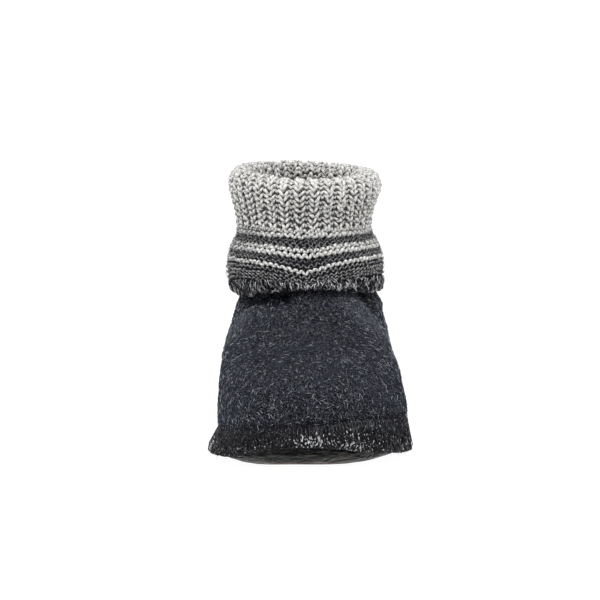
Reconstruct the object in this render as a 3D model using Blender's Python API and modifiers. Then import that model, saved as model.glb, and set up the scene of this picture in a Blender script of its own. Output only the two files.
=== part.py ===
"""Left slipper boot: a boiled-wool upper, a knitted cuff folded down over its collar, a soft leather
sole turned up like a tray inside the upper's hem, and a felt insole.

Metres, +Z up. The toe points to -Y, the inner (medial) side of the foot is -X, and the origin is on the
floor under the middle of the slipper's box. Run with: blender --background --python part.py
"""

import math
from typing import NamedTuple

import bmesh
import bpy

# Driving dimensions
LENGTH = 0.262  # hem to hem, toe to heel
BALL_WIDTH = 0.107  # hem to hem across the ball of the foot
COLLAR_HEIGHT = 0.098  # the felt collar at the front of the ankle
CUFF_HEIGHT = 0.143  # top of the knitted fold at the back of the ankle

# Wall thicknesses
FELT = 0.0035
KNIT = 0.0040
EDGE_FULLNESS = (0.55, 0.75, 0.90)  # share of KNIT at the cuff's loose lower edge, ring by ring
LEATHER = 0.0020
INSOLE = 0.0060
CLEARANCE = 0.0006  # left between the insole and the leather, less on a slope

# Shape of the sole
ARCH_LIFT = 0.0020  # the waist of the sole above the floor on the medial side
TOE_SPRING = 0.0035  # the front edge of the sole's bottom above the floor
SPRING_START = -0.090  # the sole leaves the floor in front of this
ARCH_FRONT = -0.035
ARCH_BACK = 0.045

TOE_POWER = 1.9  # bluntness of a ring's front: 2 is an ellipse
BALL_SLANT = 0.5  # how far the ball's medial side lies ahead of its lateral side, against the toe's swing
CUFF_LEAN = 0.035  # slope of the fold towards the lateral side, and of the cuff's lower edge the other way
KNIT_WAIST = 0.111  # height at which the cuff is narrowest and does not lean
AROUND = 48  # points round each ring of the felt, leather and insole
CUFF_AROUND = 44
UPPER_STEPS = 14  # rings of the upper above the seam


class Ring(NamedTuple):
    """One closed loop round the foot, as shares of the driving dimensions."""

    toe: float  # its front point, from the toe, share of LENGTH
    toe_rise: float  # height there
    side_rise: float  # height along the sides
    heel: float  # its back point
    heel_rise: float  # height there
    wide: float  # where its front part is widest
    medial: float  # half width there, towards the other foot, share of BALL_WIDTH
    lateral: float  # half width there, away from the other foot
    seat: float  # where its heel is widest
    seat_half: float  # half width of the heel
    nip: float  # how far the arch pulls the medial side in
    reach: float  # share of the ring over which its front lift fades out
    swing: float = 0.0  # shift of the toe towards the medial side


# The upper's outer face, from the cut edge of the hem to the collar. Heights are shares of COLLAR_HEIGHT.
UPPER_RINGS = (
    #    toe  t_rise  s_rise  heel  h_rise  wide  med.   lat.   seat   half   nip  reach swing
    Ring(0.000, 0.122, 0.034, 1.000, 0.040, 0.285, 0.474, 0.528, 0.835, 0.383, 0.050, 0.33, 0.055),
    Ring(0.013, 0.235, 0.145, 0.985, 0.160, 0.290, 0.432, 0.514, 0.835, 0.350, 0.045, 0.33, 0.055),
    Ring(0.015, 0.316, 0.245, 0.988, 0.286, 0.300, 0.428, 0.506, 0.830, 0.352, 0.035, 0.34, 0.055),
    Ring(0.038, 0.403, 0.337, 0.986, 0.388, 0.310, 0.424, 0.487, 0.820, 0.350, 0.020, 0.36, 0.050),
    Ring(0.088, 0.474, 0.418, 0.981, 0.469, 0.340, 0.416, 0.470, 0.800, 0.346, 0.010, 0.40, 0.045),
    Ring(0.157, 0.520, 0.480, 0.975, 0.536, 0.390, 0.412, 0.453, 0.780, 0.342, 0.000, 0.42, 0.035),
    Ring(0.233, 0.556, 0.531, 0.969, 0.597, 0.440, 0.403, 0.440, 0.760, 0.338, 0.000, 0.45, 0.025),
    Ring(0.309, 0.607, 0.582, 0.963, 0.658, 0.500, 0.390, 0.427, 0.740, 0.334, 0.000, 0.50, 0.015),
    Ring(0.378, 0.679, 0.640, 0.957, 0.724, 0.550, 0.371, 0.411, 0.720, 0.330, 0.000, 0.50, 0.008),
    Ring(0.435, 0.776, 0.699, 0.951, 0.796, 0.590, 0.351, 0.388, 0.720, 0.326, 0.000, 0.50, 0.000),
    Ring(0.481, 0.883, 0.765, 0.947, 0.883, 0.660, 0.332, 0.350, 0.720, 0.325, 0.000, 0.50, 0.000),
    Ring(0.508, 1.000, 0.949, 0.943, 0.985, 0.710, 0.324, 0.324, 0.730, 0.324, 0.000, 0.50, 0.000),
)

# The cuff's knitted face, from its lower edge outside, over the fold, to its sewn edge inside the collar.
# Heights are shares of CUFF_HEIGHT.
CUFF_RINGS = (
    #    toe  t_rise  s_rise  heel  h_rise  wide  med.   lat.   seat   half   nip  reach
    Ring(0.435, 0.573, 0.514, 0.970, 0.497, 0.610, 0.372, 0.388, 0.740, 0.370, 0.000, 0.50),
    Ring(0.458, 0.627, 0.559, 0.977, 0.545, 0.630, 0.392, 0.399, 0.740, 0.388, 0.000, 0.50),
    Ring(0.481, 0.687, 0.622, 0.975, 0.608, 0.650, 0.408, 0.404, 0.740, 0.400, 0.000, 0.50),
    Ring(0.506, 0.737, 0.685, 0.963, 0.676, 0.680, 0.388, 0.386, 0.740, 0.382, 0.000, 0.50),
    Ring(0.524, 0.769, 0.738, 0.942, 0.738, 0.700, 0.358, 0.346, 0.740, 0.348, 0.000, 0.50),
    Ring(0.533, 0.794, 0.776, 0.929, 0.783, 0.710, 0.348, 0.333, 0.740, 0.338, 0.000, 0.50),
    Ring(0.532, 0.832, 0.825, 0.929, 0.832, 0.715, 0.357, 0.342, 0.740, 0.348, 0.000, 0.50),
    Ring(0.523, 0.873, 0.874, 0.936, 0.885, 0.715, 0.376, 0.367, 0.740, 0.370, 0.000, 0.50),
    Ring(0.517, 0.905, 0.916, 0.942, 0.930, 0.715, 0.388, 0.385, 0.740, 0.386, 0.000, 0.50),
    Ring(0.519, 0.934, 0.951, 0.941, 0.969, 0.715, 0.384, 0.378, 0.740, 0.380, 0.000, 0.50),
    Ring(0.528, 0.954, 0.974, 0.931, 0.992, 0.715, 0.359, 0.354, 0.740, 0.356, 0.000, 0.50),
    Ring(0.542, 0.961, 0.983, 0.918, 1.000, 0.715, 0.328, 0.325, 0.740, 0.326, 0.000, 0.50),
    Ring(0.555, 0.954, 0.975, 0.905, 0.992, 0.715, 0.299, 0.297, 0.740, 0.297, 0.000, 0.50),
    Ring(0.565, 0.932, 0.950, 0.896, 0.968, 0.715, 0.279, 0.277, 0.740, 0.277, 0.000, 0.50),
    Ring(0.569, 0.894, 0.905, 0.893, 0.920, 0.715, 0.266, 0.264, 0.740, 0.264, 0.000, 0.50),
    Ring(0.572, 0.840, 0.840, 0.892, 0.848, 0.715, 0.256, 0.252, 0.735, 0.253, 0.000, 0.50),
    Ring(0.571, 0.792, 0.783, 0.892, 0.790, 0.715, 0.250, 0.247, 0.730, 0.248, 0.000, 0.50),
    Ring(0.563, 0.742, 0.727, 0.896, 0.734, 0.710, 0.246, 0.245, 0.725, 0.245, 0.000, 0.50),
    Ring(0.553, 0.696, 0.671, 0.901, 0.676, 0.700, 0.245, 0.245, 0.720, 0.244, 0.000, 0.50),
    Ring(0.548, 0.640, 0.615, 0.902, 0.617, 0.700, 0.245, 0.245, 0.720, 0.244, 0.000, 0.50),
)


class TrayRow(NamedTuple):
    """One loop of the leather tray or the insole, measured from the upper's hem and the sole's bottom."""

    inset: float  # inside the hem's edge
    rise: float  # above the bottom of the sole
    toe_lift: float  # more height at the toe


TRAY_ROWS = (
    TrayRow(inset=0.0090, rise=0.0130, toe_lift=0.0040),  # top of the wall, inside the felt
    TrayRow(inset=0.0073, rise=0.0094, toe_lift=0.0040),
    TrayRow(inset=0.0058, rise=0.0058, toe_lift=0.0040),  # the belly that shows below the hem
    TrayRow(inset=0.0060, rise=0.0034, toe_lift=0.0034),
    TrayRow(inset=0.0082, rise=0.0012, toe_lift=0.0020),
    TrayRow(inset=0.0120, rise=0.0000, toe_lift=0.0000),  # rim of the flat bottom
)
BOTTOM_SCALES = (0.80, 0.55, 0.28)  # inner loops of the flat bottom

INSOLE_ROWS = (
    TrayRow(inset=0.0145, rise=LEATHER + CLEARANCE, toe_lift=0.0),
    TrayRow(inset=0.0128, rise=LEATHER + CLEARANCE + 0.25 * INSOLE, toe_lift=0.0),
    TrayRow(inset=0.0128, rise=LEATHER + CLEARANCE + 0.80 * INSOLE, toe_lift=0.0),
    TrayRow(inset=0.0145, rise=LEATHER + CLEARANCE + INSOLE, toe_lift=0.0),
)

# The hem is wider on the lateral side, so the foot's own axis lies a little to the medial side of the box.
FOOT_AXIS_X = -0.5 * (UPPER_RINGS[0].lateral - UPPER_RINGS[0].medial) * BALL_WIDTH


def clear_scene():
    """Remove whatever objects the file holds."""
    for obj in list(bpy.data.objects):
        bpy.data.objects.remove(obj, do_unlink=True)


def new_collection(name):
    """A collection linked to the scene."""
    collection = bpy.data.collections.new(name)
    bpy.context.scene.collection.children.link(collection)
    return collection


def new_material(name, colour, roughness, metallic=0.0):
    """A Principled material of one colour."""
    material = bpy.data.materials.new(name)
    material.use_nodes = True
    shader = material.node_tree.nodes["Principled BSDF"]
    shader.inputs["Base Color"].default_value = (*colour, 1.0)
    shader.inputs["Roughness"].default_value = roughness
    shader.inputs["Metallic"].default_value = metallic
    return material


def smoothstep(share):
    """0 to 1 with flat ends."""
    share = min(1.0, max(0.0, share))
    return share * share * (3.0 - 2.0 * share)


def between(rings, position):
    """The ring at a position in the table, by a curve through its neighbours' values."""
    first = min(int(position), len(rings) - 2)
    share = position - first
    before = rings[max(first - 1, 0)]
    start = rings[first]
    end = rings[first + 1]
    after = rings[min(first + 2, len(rings) - 1)]
    values = []
    for a, b, c, d in zip(before, start, end, after):
        slope_in = 0.5 * (c - a)
        slope_out = 0.5 * (d - b)
        cubic = 2 * b - 2 * c + slope_in + slope_out
        square = 3 * c - 3 * b - 2 * slope_in - slope_out
        values.append(((cubic * share + square) * share + slope_in) * share + b)
    return Ring(*values)


def half_width(ring, station, wide, half_at_wide, nip):
    """Half width of one side of a ring at a station, a share of LENGTH from the toe."""
    if station < wide:
        share = (wide - station) / (wide - ring.toe)
        return half_at_wide * (1.0 - min(1.0, share) ** TOE_POWER) ** (1.0 / TOE_POWER)
    if station > ring.seat:
        share = (station - ring.seat) / (ring.heel - ring.seat)
        return ring.seat_half * math.sqrt(1.0 - min(1.0, share) ** 2)
    share = (station - wide) / (ring.seat - wide)
    pulled_in = nip * math.sin(math.pi * share) ** 2
    return half_at_wide + (ring.seat_half - half_at_wide) * smoothstep(share) - pulled_in


def toe_shift(ring, station):
    """How far the foot's axis swings to the medial side at a station, as a negative share of BALL_WIDTH."""
    share = max(0.0, ring.wide - station) / (ring.wide - ring.toe)
    return -ring.swing * share * share


def ring_loop(ring, height, around):
    """Points of one ring, from the toe round the lateral side. Its heights are shares of height."""
    points = []
    for i in range(around):
        angle = 2.0 * math.pi * i / around
        share = 0.5 * (1.0 - math.cos(angle))
        station = ring.toe + (ring.heel - ring.toe) * share
        if angle <= math.pi:
            x = half_width(ring, station, ring.wide + BALL_SLANT * ring.swing, ring.lateral, 0.0)
        else:
            x = -half_width(ring, station, ring.wide - BALL_SLANT * ring.swing, ring.medial, ring.nip)
        x += toe_shift(ring, station)
        rise = ring.side_rise
        rise += (ring.toe_rise - ring.side_rise) * max(0.0, 1.0 - share / ring.reach) ** 2
        rise += (ring.heel_rise - ring.side_rise) * max(0.0, 2.0 * share - 1.0) ** 2
        points.append((FOOT_AXIS_X + x * BALL_WIDTH, (station - 0.5) * LENGTH, rise * height))
    return points


def bottom_height(x, y):
    """Height of the sole's bottom: flat under ball and heel, raised at the arch and the toe."""
    height = 0.0
    if y < SPRING_START:
        front = -0.5 * LENGTH + TRAY_ROWS[-1].inset
        height = TOE_SPRING * ((y - SPRING_START) / (front - SPRING_START)) ** 2
    elif ARCH_FRONT < y < ARCH_BACK:
        share = (y - ARCH_FRONT) / (ARCH_BACK - ARCH_FRONT)
        towards_medial = 0.6 - x / BALL_WIDTH
        height = ARCH_LIFT * math.sin(math.pi * share) ** 2 * max(0.0, towards_medial)
    return height


def tray_loop(row):
    """Points of one loop of the sole or the insole."""
    hem = UPPER_RINGS[0]
    along = row.inset / LENGTH
    across = row.inset / BALL_WIDTH
    ring = hem._replace(
        toe=hem.toe + along,
        heel=hem.heel - along,
        medial=hem.medial - across,
        lateral=hem.lateral - across,
        seat_half=hem.seat_half - across,
    )
    points = []
    for i, (x, y, _) in enumerate(ring_loop(ring, COLLAR_HEIGHT, AROUND)):
        share = 0.5 * (1.0 - math.cos(2.0 * math.pi * i / AROUND))
        lift = row.toe_lift * max(0.0, 1.0 - share / hem.reach) ** 2
        points.append((x, y, bottom_height(x, y) + row.rise + lift))
    return points


def bottom_loops(rim, rise):
    """Smaller and smaller copies of a rim, which lie on the sole's bottom or at a rise above it."""
    loops = []
    for scale in BOTTOM_SCALES:
        loop = []
        for x, y, _ in rim:
            x = FOOT_AXIS_X + (x - FOOT_AXIS_X) * scale
            y = y * scale
            loop.append((x, y, bottom_height(x, y) + rise))
        loops.append(loop)
    return loops


def skin(name, loops, collection, material, close_first=False, close_last=False):
    """An object whose faces join each loop to the next, with its faces pointing outwards."""
    mesh = bmesh.new()
    rows = [[mesh.verts.new(point) for point in loop] for loop in loops]
    for below, above in zip(rows, rows[1:]):
        for i in range(len(below)):
            j = (i + 1) % len(below)
            mesh.faces.new((below[i], below[j], above[j], above[i]))
    if close_first:
        cap_with_centre(mesh, rows[0], facing_back=True)
    if close_last:
        cap_with_centre(mesh, rows[-1], facing_back=False)
    data = bpy.data.meshes.new(name)
    mesh.to_mesh(data)
    mesh.free()
    data.materials.append(material)
    data.shade_smooth()
    obj = bpy.data.objects.new(name, data)
    collection.objects.link(obj)
    return obj


def cap_with_centre(mesh, row, facing_back):
    """Close a loop with a fan of faces to a point on the foot's axis, level with the loop there."""
    nearest = sorted(row, key=lambda vertex: abs(vertex.co.y))[:2]
    height = 0.5 * (nearest[0].co.z + nearest[1].co.z)
    centre = mesh.verts.new((FOOT_AXIS_X, 0.0, height))
    for i in range(len(row)):
        j = (i + 1) % len(row)
        corners = (row[j], row[i], centre) if facing_back else (row[i], row[j], centre)
        mesh.faces.new(corners)


def thicken(obj, thickness, fullness=""):
    """Give an open surface its wall, on its inner side, thinner where a vertex group says so."""
    solidify = obj.modifiers.new("Wall", "SOLIDIFY")
    solidify.vertex_group = fullness
    solidify.thickness = thickness
    solidify.offset = -1.0
    solidify.use_even_offset = True
    solidify.use_rim = True


def make_upper(collection):
    """The boiled-wool upper: one hollow wall, open at the collar and underneath."""
    felt = new_material("BoiledWool", (0.035, 0.036, 0.045), 0.95)
    seam = 1
    last = len(UPPER_RINGS) - 1
    positions = [0.0, 0.5]
    positions += [seam + (last - seam) * i / UPPER_STEPS for i in range(UPPER_STEPS + 1)]
    loops = [ring_loop(between(UPPER_RINGS, p), COLLAR_HEIGHT, AROUND) for p in positions]
    upper = skin("upper", loops, collection, felt)
    thicken(upper, FELT)


def lean(loop):
    """A loop of the cuff, sloped a little from side to side as a soft fold hangs."""
    leaning = []
    for x, y, z in loop:
        share = (z - KNIT_WAIST) / (CUFF_HEIGHT - KNIT_WAIST)
        share = min(1.0, max(-1.0, share))
        leaning.append((x, y, z - CUFF_LEAN * share * (x - FOOT_AXIS_X)))
    return leaning


def make_cuff(collection):
    """The knitted cuff: one tube folded over the collar, sewn inside and loose outside."""
    knit = new_material("MarledKnit", (0.42, 0.41, 0.39), 0.95)
    loops = [lean(ring_loop(ring, CUFF_HEIGHT, CUFF_AROUND)) for ring in CUFF_RINGS]
    cuff = skin("cuff", loops, collection, knit)
    fullness = cuff.vertex_groups.new(name="Fullness")
    for i, loop in enumerate(loops):
        share = EDGE_FULLNESS[i] if i < len(EDGE_FULLNESS) else 1.0
        first = i * CUFF_AROUND
        fullness.add(list(range(first, first + len(loop))), share, "REPLACE")
    thicken(cuff, KNIT, fullness.name)


def make_outsole(collection):
    """The leather sole: a bottom with a low wall that stands inside the upper's hem."""
    leather = new_material("SoleLeather", (0.022, 0.021, 0.020), 0.35)
    walls = [tray_loop(row) for row in TRAY_ROWS]
    inside = bottom_loops(walls[-1], 0.0)
    loops = list(reversed(walls + inside))
    outsole = skin("outsole", loops, collection, leather, close_first=True)
    thicken(outsole, LEATHER)


def make_insole(collection):
    """The felt insole: a solid pad that fills the leather tray."""
    felt = new_material("InsoleFelt", (0.16, 0.15, 0.14), 0.95)
    sides = [tray_loop(row) for row in INSOLE_ROWS]
    under = bottom_loops(sides[0], INSOLE_ROWS[0].rise)
    over = bottom_loops(sides[-1], INSOLE_ROWS[-1].rise)
    loops = list(reversed(under)) + sides + over
    skin("insole", loops, collection, felt, close_first=True, close_last=True)


def main():
    """Build the slipper."""
    clear_scene()
    slipper = new_collection("Slipper")
    make_upper(slipper)
    make_cuff(slipper)
    make_outsole(slipper)
    make_insole(slipper)


main()
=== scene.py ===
"""Looks of a left house slipper: boiled wool, a knitted cuff folded over, a leather sole, an overlocked hem.

Sizes are in metres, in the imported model's frame: +Z up, the toe to -Y, the inner side of the foot to -X.
"""

import logging
import math
from collections.abc import Callable, Sequence
from dataclasses import dataclass
from enum import Enum
from typing import Any, NamedTuple

import bpy
import numpy as np
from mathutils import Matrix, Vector, noise


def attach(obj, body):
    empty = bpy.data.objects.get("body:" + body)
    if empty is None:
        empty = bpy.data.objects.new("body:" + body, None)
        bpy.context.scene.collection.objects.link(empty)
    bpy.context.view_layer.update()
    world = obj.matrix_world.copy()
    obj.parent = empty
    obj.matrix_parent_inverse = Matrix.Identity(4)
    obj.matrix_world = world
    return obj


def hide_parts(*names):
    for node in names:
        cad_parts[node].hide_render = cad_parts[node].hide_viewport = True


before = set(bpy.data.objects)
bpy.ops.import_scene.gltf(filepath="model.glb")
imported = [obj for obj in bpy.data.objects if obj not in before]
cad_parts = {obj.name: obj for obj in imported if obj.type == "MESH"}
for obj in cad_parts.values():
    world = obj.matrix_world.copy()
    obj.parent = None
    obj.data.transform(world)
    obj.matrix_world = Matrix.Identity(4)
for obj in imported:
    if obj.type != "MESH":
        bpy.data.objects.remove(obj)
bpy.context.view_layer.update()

log = logging.getLogger("slipper")

Array = np.ndarray
Object = bpy.types.Object
Material = bpy.types.Material
Triple = tuple[float, float, float]

# The foot's own sizes, which every section below is a share of
LENGTH = 0.262  # hem to hem, toe to heel
BALL_WIDTH = 0.107  # hem to hem across the ball of the foot
COLLAR_HEIGHT = 0.098  # the felt collar at the front of the ankle
CUFF_HEIGHT = 0.143  # top of the knitted fold at the back of the ankle
TOE_POWER = 1.9  # bluntness of a section's front: 2 is an ellipse
BALL_SLANT = 0.5  # how far the ball's medial side lies ahead of its lateral side, against the toe's swing

MM = 0.001
TURN = 2.0 * math.pi
OPEN_RING = 3.0 * MM  # the rings left open at a sleeve's ends lie within this of the foot's middle
DIP_POWER = 1.7  # how pointed a course's dip in front is: 1 is a straight V
FIBRE_TIP = 0.45  # thickness of a loose fibre's tip, as a share of its root's


def unit(values: Array) -> Array:
    """Values held between 0 and 1."""
    return np.clip(values, 0.0, 1.0)


def smoothstep(values: Array) -> Array:
    """0 to 1 with flat ends."""
    return unit(values) ** 2 * (3.0 - 2.0 * unit(values))


def hump(values: Array, middle: Array | float, width: float) -> Array:
    """1 at a middle value, fading out on both sides of it."""
    return np.exp(-(((values - middle) / width) ** 2))


def backward(angle: Array) -> Array:
    """How far back an angle round the foot lies, 0 at the toe and 1 at the heel."""
    return 0.5 * (1.0 - np.cos(angle))


def from_toe(angle: Array) -> Array:
    """An angle round the foot within half a turn of the toe, below 0 on the medial side."""
    return (angle + math.pi) % TURN - math.pi


def spline(before: Array, start: Array, end: Array, after: Array, share: Array) -> Array:
    """A smooth curve between two values, led by the values on either side of them.

    Args:
        before: The value before the two.
        start: The first of the two.
        end: The second.
        after: The value after them.
        share: How far along the way from the first to the second.

    Returns:
        The curve's value there.
    """
    slope_in, slope_out = 0.5 * (end - before), 0.5 * (after - start)
    cubic = 2.0 * (start - end) + slope_in + slope_out
    square = 3.0 * (end - start) - 2.0 * slope_in - slope_out
    return ((cubic * share + square) * share + slope_in) * share + start


class Section(NamedTuple):
    """A line round the foot. Places along the foot are shares of LENGTH, widths of BALL_WIDTH."""

    toe: float  # its front point
    toe_rise: float  # height there
    side_rise: float  # height along the sides
    heel: float  # its back point
    heel_rise: float  # height there
    wide: float  # where its front part is widest
    medial: float  # half width there, towards the other foot
    lateral: float  # half width there, away from the other foot
    seat: float  # where its heel is widest
    seat_half: float  # half width of the heel
    nip: float = 0.0  # how far the arch pulls the medial side in
    reach: float = 0.5  # share of the section over which its front lift fades out
    swing: float = 0.0  # shift of the toe towards the medial side

    def set_in(self, inset: Array) -> "Section":
        """The line moved inwards.

        Args:
            inset: How far, in metres.

        Returns:
            The new line.
        """
        along, across = inset / LENGTH, inset / BALL_WIDTH
        halves = {name: getattr(self, name) - across for name in ("medial", "lateral", "seat_half")}
        return self._replace(toe=self.toe + along, heel=self.heel - along, **halves)

    def plan(self, angle: Array) -> tuple[Array, Array]:
        """The line seen from above.

        Args:
            angle: Angles round it, 0 at the toe and growing past the lateral side.

        Returns:
            x from the foot's axis and y, at each angle.
        """
        station = self.toe + (self.heel - self.toe) * backward(angle)
        side = np.where(np.sin(angle) >= 0.0, 1.0, -1.0)
        wide = self.wide + side * BALL_SLANT * self.swing
        half = np.where(side > 0.0, self.lateral, self.medial)
        ahead = unit((wide - station) / (wide - self.toe))
        behind = unit((station - self.seat) / (self.heel - self.seat))
        middle = unit((station - wide) / (self.seat - wide))
        width = half + (self.seat_half - half) * smoothstep(middle)
        width = width - np.where(side > 0.0, 0.0, self.nip) * np.sin(math.pi * middle) ** 2
        width = width * (1.0 - ahead**TOE_POWER) ** (1.0 / TOE_POWER) * np.sqrt(1.0 - behind**2)
        swing = self.swing * unit((self.wide - station) / (self.wide - self.toe)) ** 2
        return (side * width - swing) * BALL_WIDTH, (station - 0.5) * LENGTH


# Outer face of the felt, from the cut edge of the hem to the collar
UPPER_SECTIONS = (
    #       toe  t_rise  s_rise  heel  h_rise  wide  med.   lat.   seat   half   nip  reach swing
    Section(0.000, 0.122, 0.028, 1.000, 0.040, 0.285, 0.474, 0.528, 0.835, 0.383, 0.050, 0.33, 0.055),
    Section(0.013, 0.235, 0.145, 0.985, 0.160, 0.290, 0.432, 0.514, 0.835, 0.350, 0.045, 0.33, 0.055),
    Section(0.015, 0.316, 0.245, 0.988, 0.286, 0.300, 0.428, 0.506, 0.830, 0.352, 0.035, 0.34, 0.055),
    Section(0.038, 0.403, 0.337, 0.986, 0.388, 0.310, 0.424, 0.487, 0.820, 0.350, 0.020, 0.36, 0.050),
    Section(0.088, 0.474, 0.418, 0.981, 0.469, 0.340, 0.416, 0.470, 0.800, 0.346, 0.010, 0.40, 0.045),
    Section(0.157, 0.520, 0.480, 0.975, 0.536, 0.390, 0.412, 0.448, 0.780, 0.342, 0.000, 0.42, 0.035),
    Section(0.233, 0.556, 0.531, 0.969, 0.597, 0.440, 0.403, 0.431, 0.760, 0.338, 0.000, 0.45, 0.025),
    Section(0.309, 0.607, 0.582, 0.963, 0.658, 0.500, 0.390, 0.417, 0.740, 0.334, 0.000, 0.50, 0.015),
    Section(0.378, 0.679, 0.640, 0.957, 0.724, 0.550, 0.371, 0.402, 0.720, 0.330, 0.000, 0.50, 0.008),
    Section(0.435, 0.776, 0.699, 0.951, 0.796, 0.590, 0.351, 0.383, 0.720, 0.326),
    Section(0.481, 0.883, 0.765, 0.947, 0.883, 0.660, 0.332, 0.350, 0.720, 0.325),
    Section(0.508, 1.000, 0.949, 0.943, 0.985, 0.710, 0.324, 0.324, 0.730, 0.324),
)

# Knitted face of the cuff, from its loose lower edge, over the fold, to its sewn edge inside the collar
CUFF_SECTIONS = (
    #       toe  t_rise  s_rise  heel  h_rise  wide  med.   lat.   seat   half
    Section(0.435, 0.573, 0.514, 0.970, 0.497, 0.610, 0.364, 0.388, 0.740, 0.370),
    Section(0.458, 0.627, 0.559, 0.977, 0.545, 0.630, 0.384, 0.398, 0.740, 0.388),
    Section(0.481, 0.687, 0.622, 0.975, 0.608, 0.650, 0.404, 0.402, 0.740, 0.400),
    Section(0.506, 0.737, 0.685, 0.963, 0.676, 0.680, 0.388, 0.386, 0.740, 0.382),
    Section(0.524, 0.769, 0.738, 0.942, 0.738, 0.700, 0.358, 0.346, 0.740, 0.348),
    Section(0.533, 0.794, 0.776, 0.929, 0.783, 0.710, 0.348, 0.333, 0.740, 0.338),
    Section(0.532, 0.832, 0.825, 0.929, 0.832, 0.715, 0.357, 0.342, 0.740, 0.348),
    Section(0.523, 0.873, 0.874, 0.936, 0.885, 0.715, 0.376, 0.362, 0.740, 0.370),
    Section(0.517, 0.905, 0.916, 0.942, 0.928, 0.715, 0.388, 0.376, 0.740, 0.386),
    Section(0.518, 0.939, 0.951, 0.941, 0.962, 0.715, 0.384, 0.370, 0.740, 0.380),
    Section(0.526, 0.962, 0.974, 0.931, 0.981, 0.715, 0.359, 0.346, 0.740, 0.356),
    Section(0.540, 0.970, 0.983, 0.918, 0.988, 0.715, 0.328, 0.318, 0.740, 0.326),
    Section(0.554, 0.962, 0.975, 0.905, 0.981, 0.715, 0.299, 0.293, 0.740, 0.297),
    Section(0.565, 0.937, 0.950, 0.896, 0.960, 0.715, 0.279, 0.275, 0.740, 0.277),
    Section(0.569, 0.894, 0.905, 0.893, 0.920, 0.715, 0.266, 0.264, 0.740, 0.264),
    Section(0.572, 0.840, 0.840, 0.892, 0.848, 0.715, 0.256, 0.252, 0.735, 0.253),
    Section(0.571, 0.792, 0.783, 0.892, 0.790, 0.715, 0.250, 0.247, 0.730, 0.248),
    Section(0.563, 0.742, 0.727, 0.896, 0.734, 0.710, 0.246, 0.245, 0.725, 0.245),
    Section(0.553, 0.696, 0.671, 0.901, 0.676, 0.700, 0.245, 0.245, 0.720, 0.244),
    Section(0.548, 0.640, 0.615, 0.902, 0.617, 0.700, 0.245, 0.245, 0.720, 0.244),
)

# The hem is wider on the lateral side, so the foot's own axis lies a little to the medial side of the box.
FOOT_AXIS_X = -0.5 * (UPPER_SECTIONS[0].lateral - UPPER_SECTIONS[0].medial) * BALL_WIDTH


def running_length(line: Array) -> Array:
    """Length along a line of points, from its first point to each."""
    return np.concatenate([[0.0], np.cumsum(np.linalg.norm(np.diff(line, axis=0), axis=-1))])


def unit_vectors(vectors: Array) -> Array:
    """Vectors with their lengths made 1."""
    return vectors / (np.linalg.norm(vectors, axis=-1, keepdims=True) + 1e-12)


@dataclass(frozen=True)
class Wall:
    """A smooth wall round the foot. A place on it is a section's number or a fraction between two."""

    sections: tuple[Section, ...]  # from one edge of the wall to the other
    height: float  # what the sections' rises are shares of
    lean: float = 0.0  # slope from side to side away from the height at which it doesn't lean
    upright: float = 0.0  # that height

    @property
    def last(self) -> float:
        """Place of the wall's far edge."""
        return len(self.sections) - 1.0

    def points(self, place: Array, angle: Array) -> Array:
        """Points on the wall.

        Args:
            place: Places on the wall.
            angle: Angles round it, of a shape that broadcasts with theirs.

        Returns:
            The points, with x, y and z along the last axis.
        """
        place, angle = np.broadcast_arrays(np.asarray(place, float), np.asarray(angle, float))
        table = np.array(self.sections)
        first = np.clip(place.astype(int), 0, len(table) - 2)
        near = [table[np.clip(first + k, 0, len(table) - 1)] for k in (-1, 0, 1, 2)]
        line = Section(*np.moveaxis(spline(*near, (place - first)[..., None]), -1, 0))
        x, y = line.plan(angle)
        share = backward(angle)
        rise = line.side_rise + (line.toe_rise - line.side_rise) * unit(1.0 - share / line.reach) ** 2
        rise = rise + (line.heel_rise - line.side_rise) * unit(2.0 * share - 1.0) ** 2
        z = rise * self.height
        above = np.clip((z - self.upright) / (self.height - self.upright), -1.0, 1.0)
        return np.stack([x + FOOT_AXIS_X, y, z - self.lean * x * above], axis=-1)

    def along(self, place: Array, angle: Array, step: float = 0.01) -> Array:
        """What two small steps round the wall add up to at each point."""
        return self.points(place, angle + step) - self.points(place, angle - step)

    def across(self, place: Array, angle: Array, step: float = 0.02) -> Array:
        """What two small steps from edge to edge add up to at each point."""
        return self.points(place + step, angle) - self.points(place - step, angle)

    def normals(self, place: Array, angle: Array) -> Array:
        """Outward directions of the wall, of length 1."""
        return unit_vectors(np.cross(self.along(place, angle, 0.012), self.across(place, angle)))

    def even_places(self, angle: float, start: float, stop: float, count: int) -> Array:
        """Places that lie the same length apart on the line at one angle.

        Args:
            angle: The angle.
            start: The first place.
            stop: The last.
            count: How many.

        Returns:
            The places.
        """
        fine = np.linspace(start, stop, 400)
        run = running_length(self.points(fine, angle))
        return np.interp(np.linspace(0.0, run[-1], count), run, fine)

    def even_angles(self, place_at: Callable[[Array], Array], share: Array) -> Array:
        """Angles at shares of the length of a closed line on the wall.

        Args:
            place_at: The line, as its place at each angle.
            share: Shares of its length from the middle of the front. Whole numbers are full turns.

        Returns:
            An angle for each share.
        """
        fine = np.linspace(0.0, TURN, 721)  # half a degree apart
        run = running_length(self.points(place_at(fine), fine))
        return np.interp((share % 1.0) * run[-1], run, fine)


UPPER_WALL = Wall(UPPER_SECTIONS, COLLAR_HEIGHT)
CUFF_WALL = Wall(CUFF_SECTIONS, CUFF_HEIGHT, lean=0.035, upright=0.111)


# ---- Modelling steps ----


def deselect_all() -> None:
    """Leave nothing selected."""
    bpy.ops.object.select_all(action="DESELECT")


def make_active(obj: Object) -> None:
    """Select one object and nothing else.

    Args:
        obj: The object.
    """
    deselect_all()
    obj.select_set(True)
    bpy.context.view_layer.objects.active = obj


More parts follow.
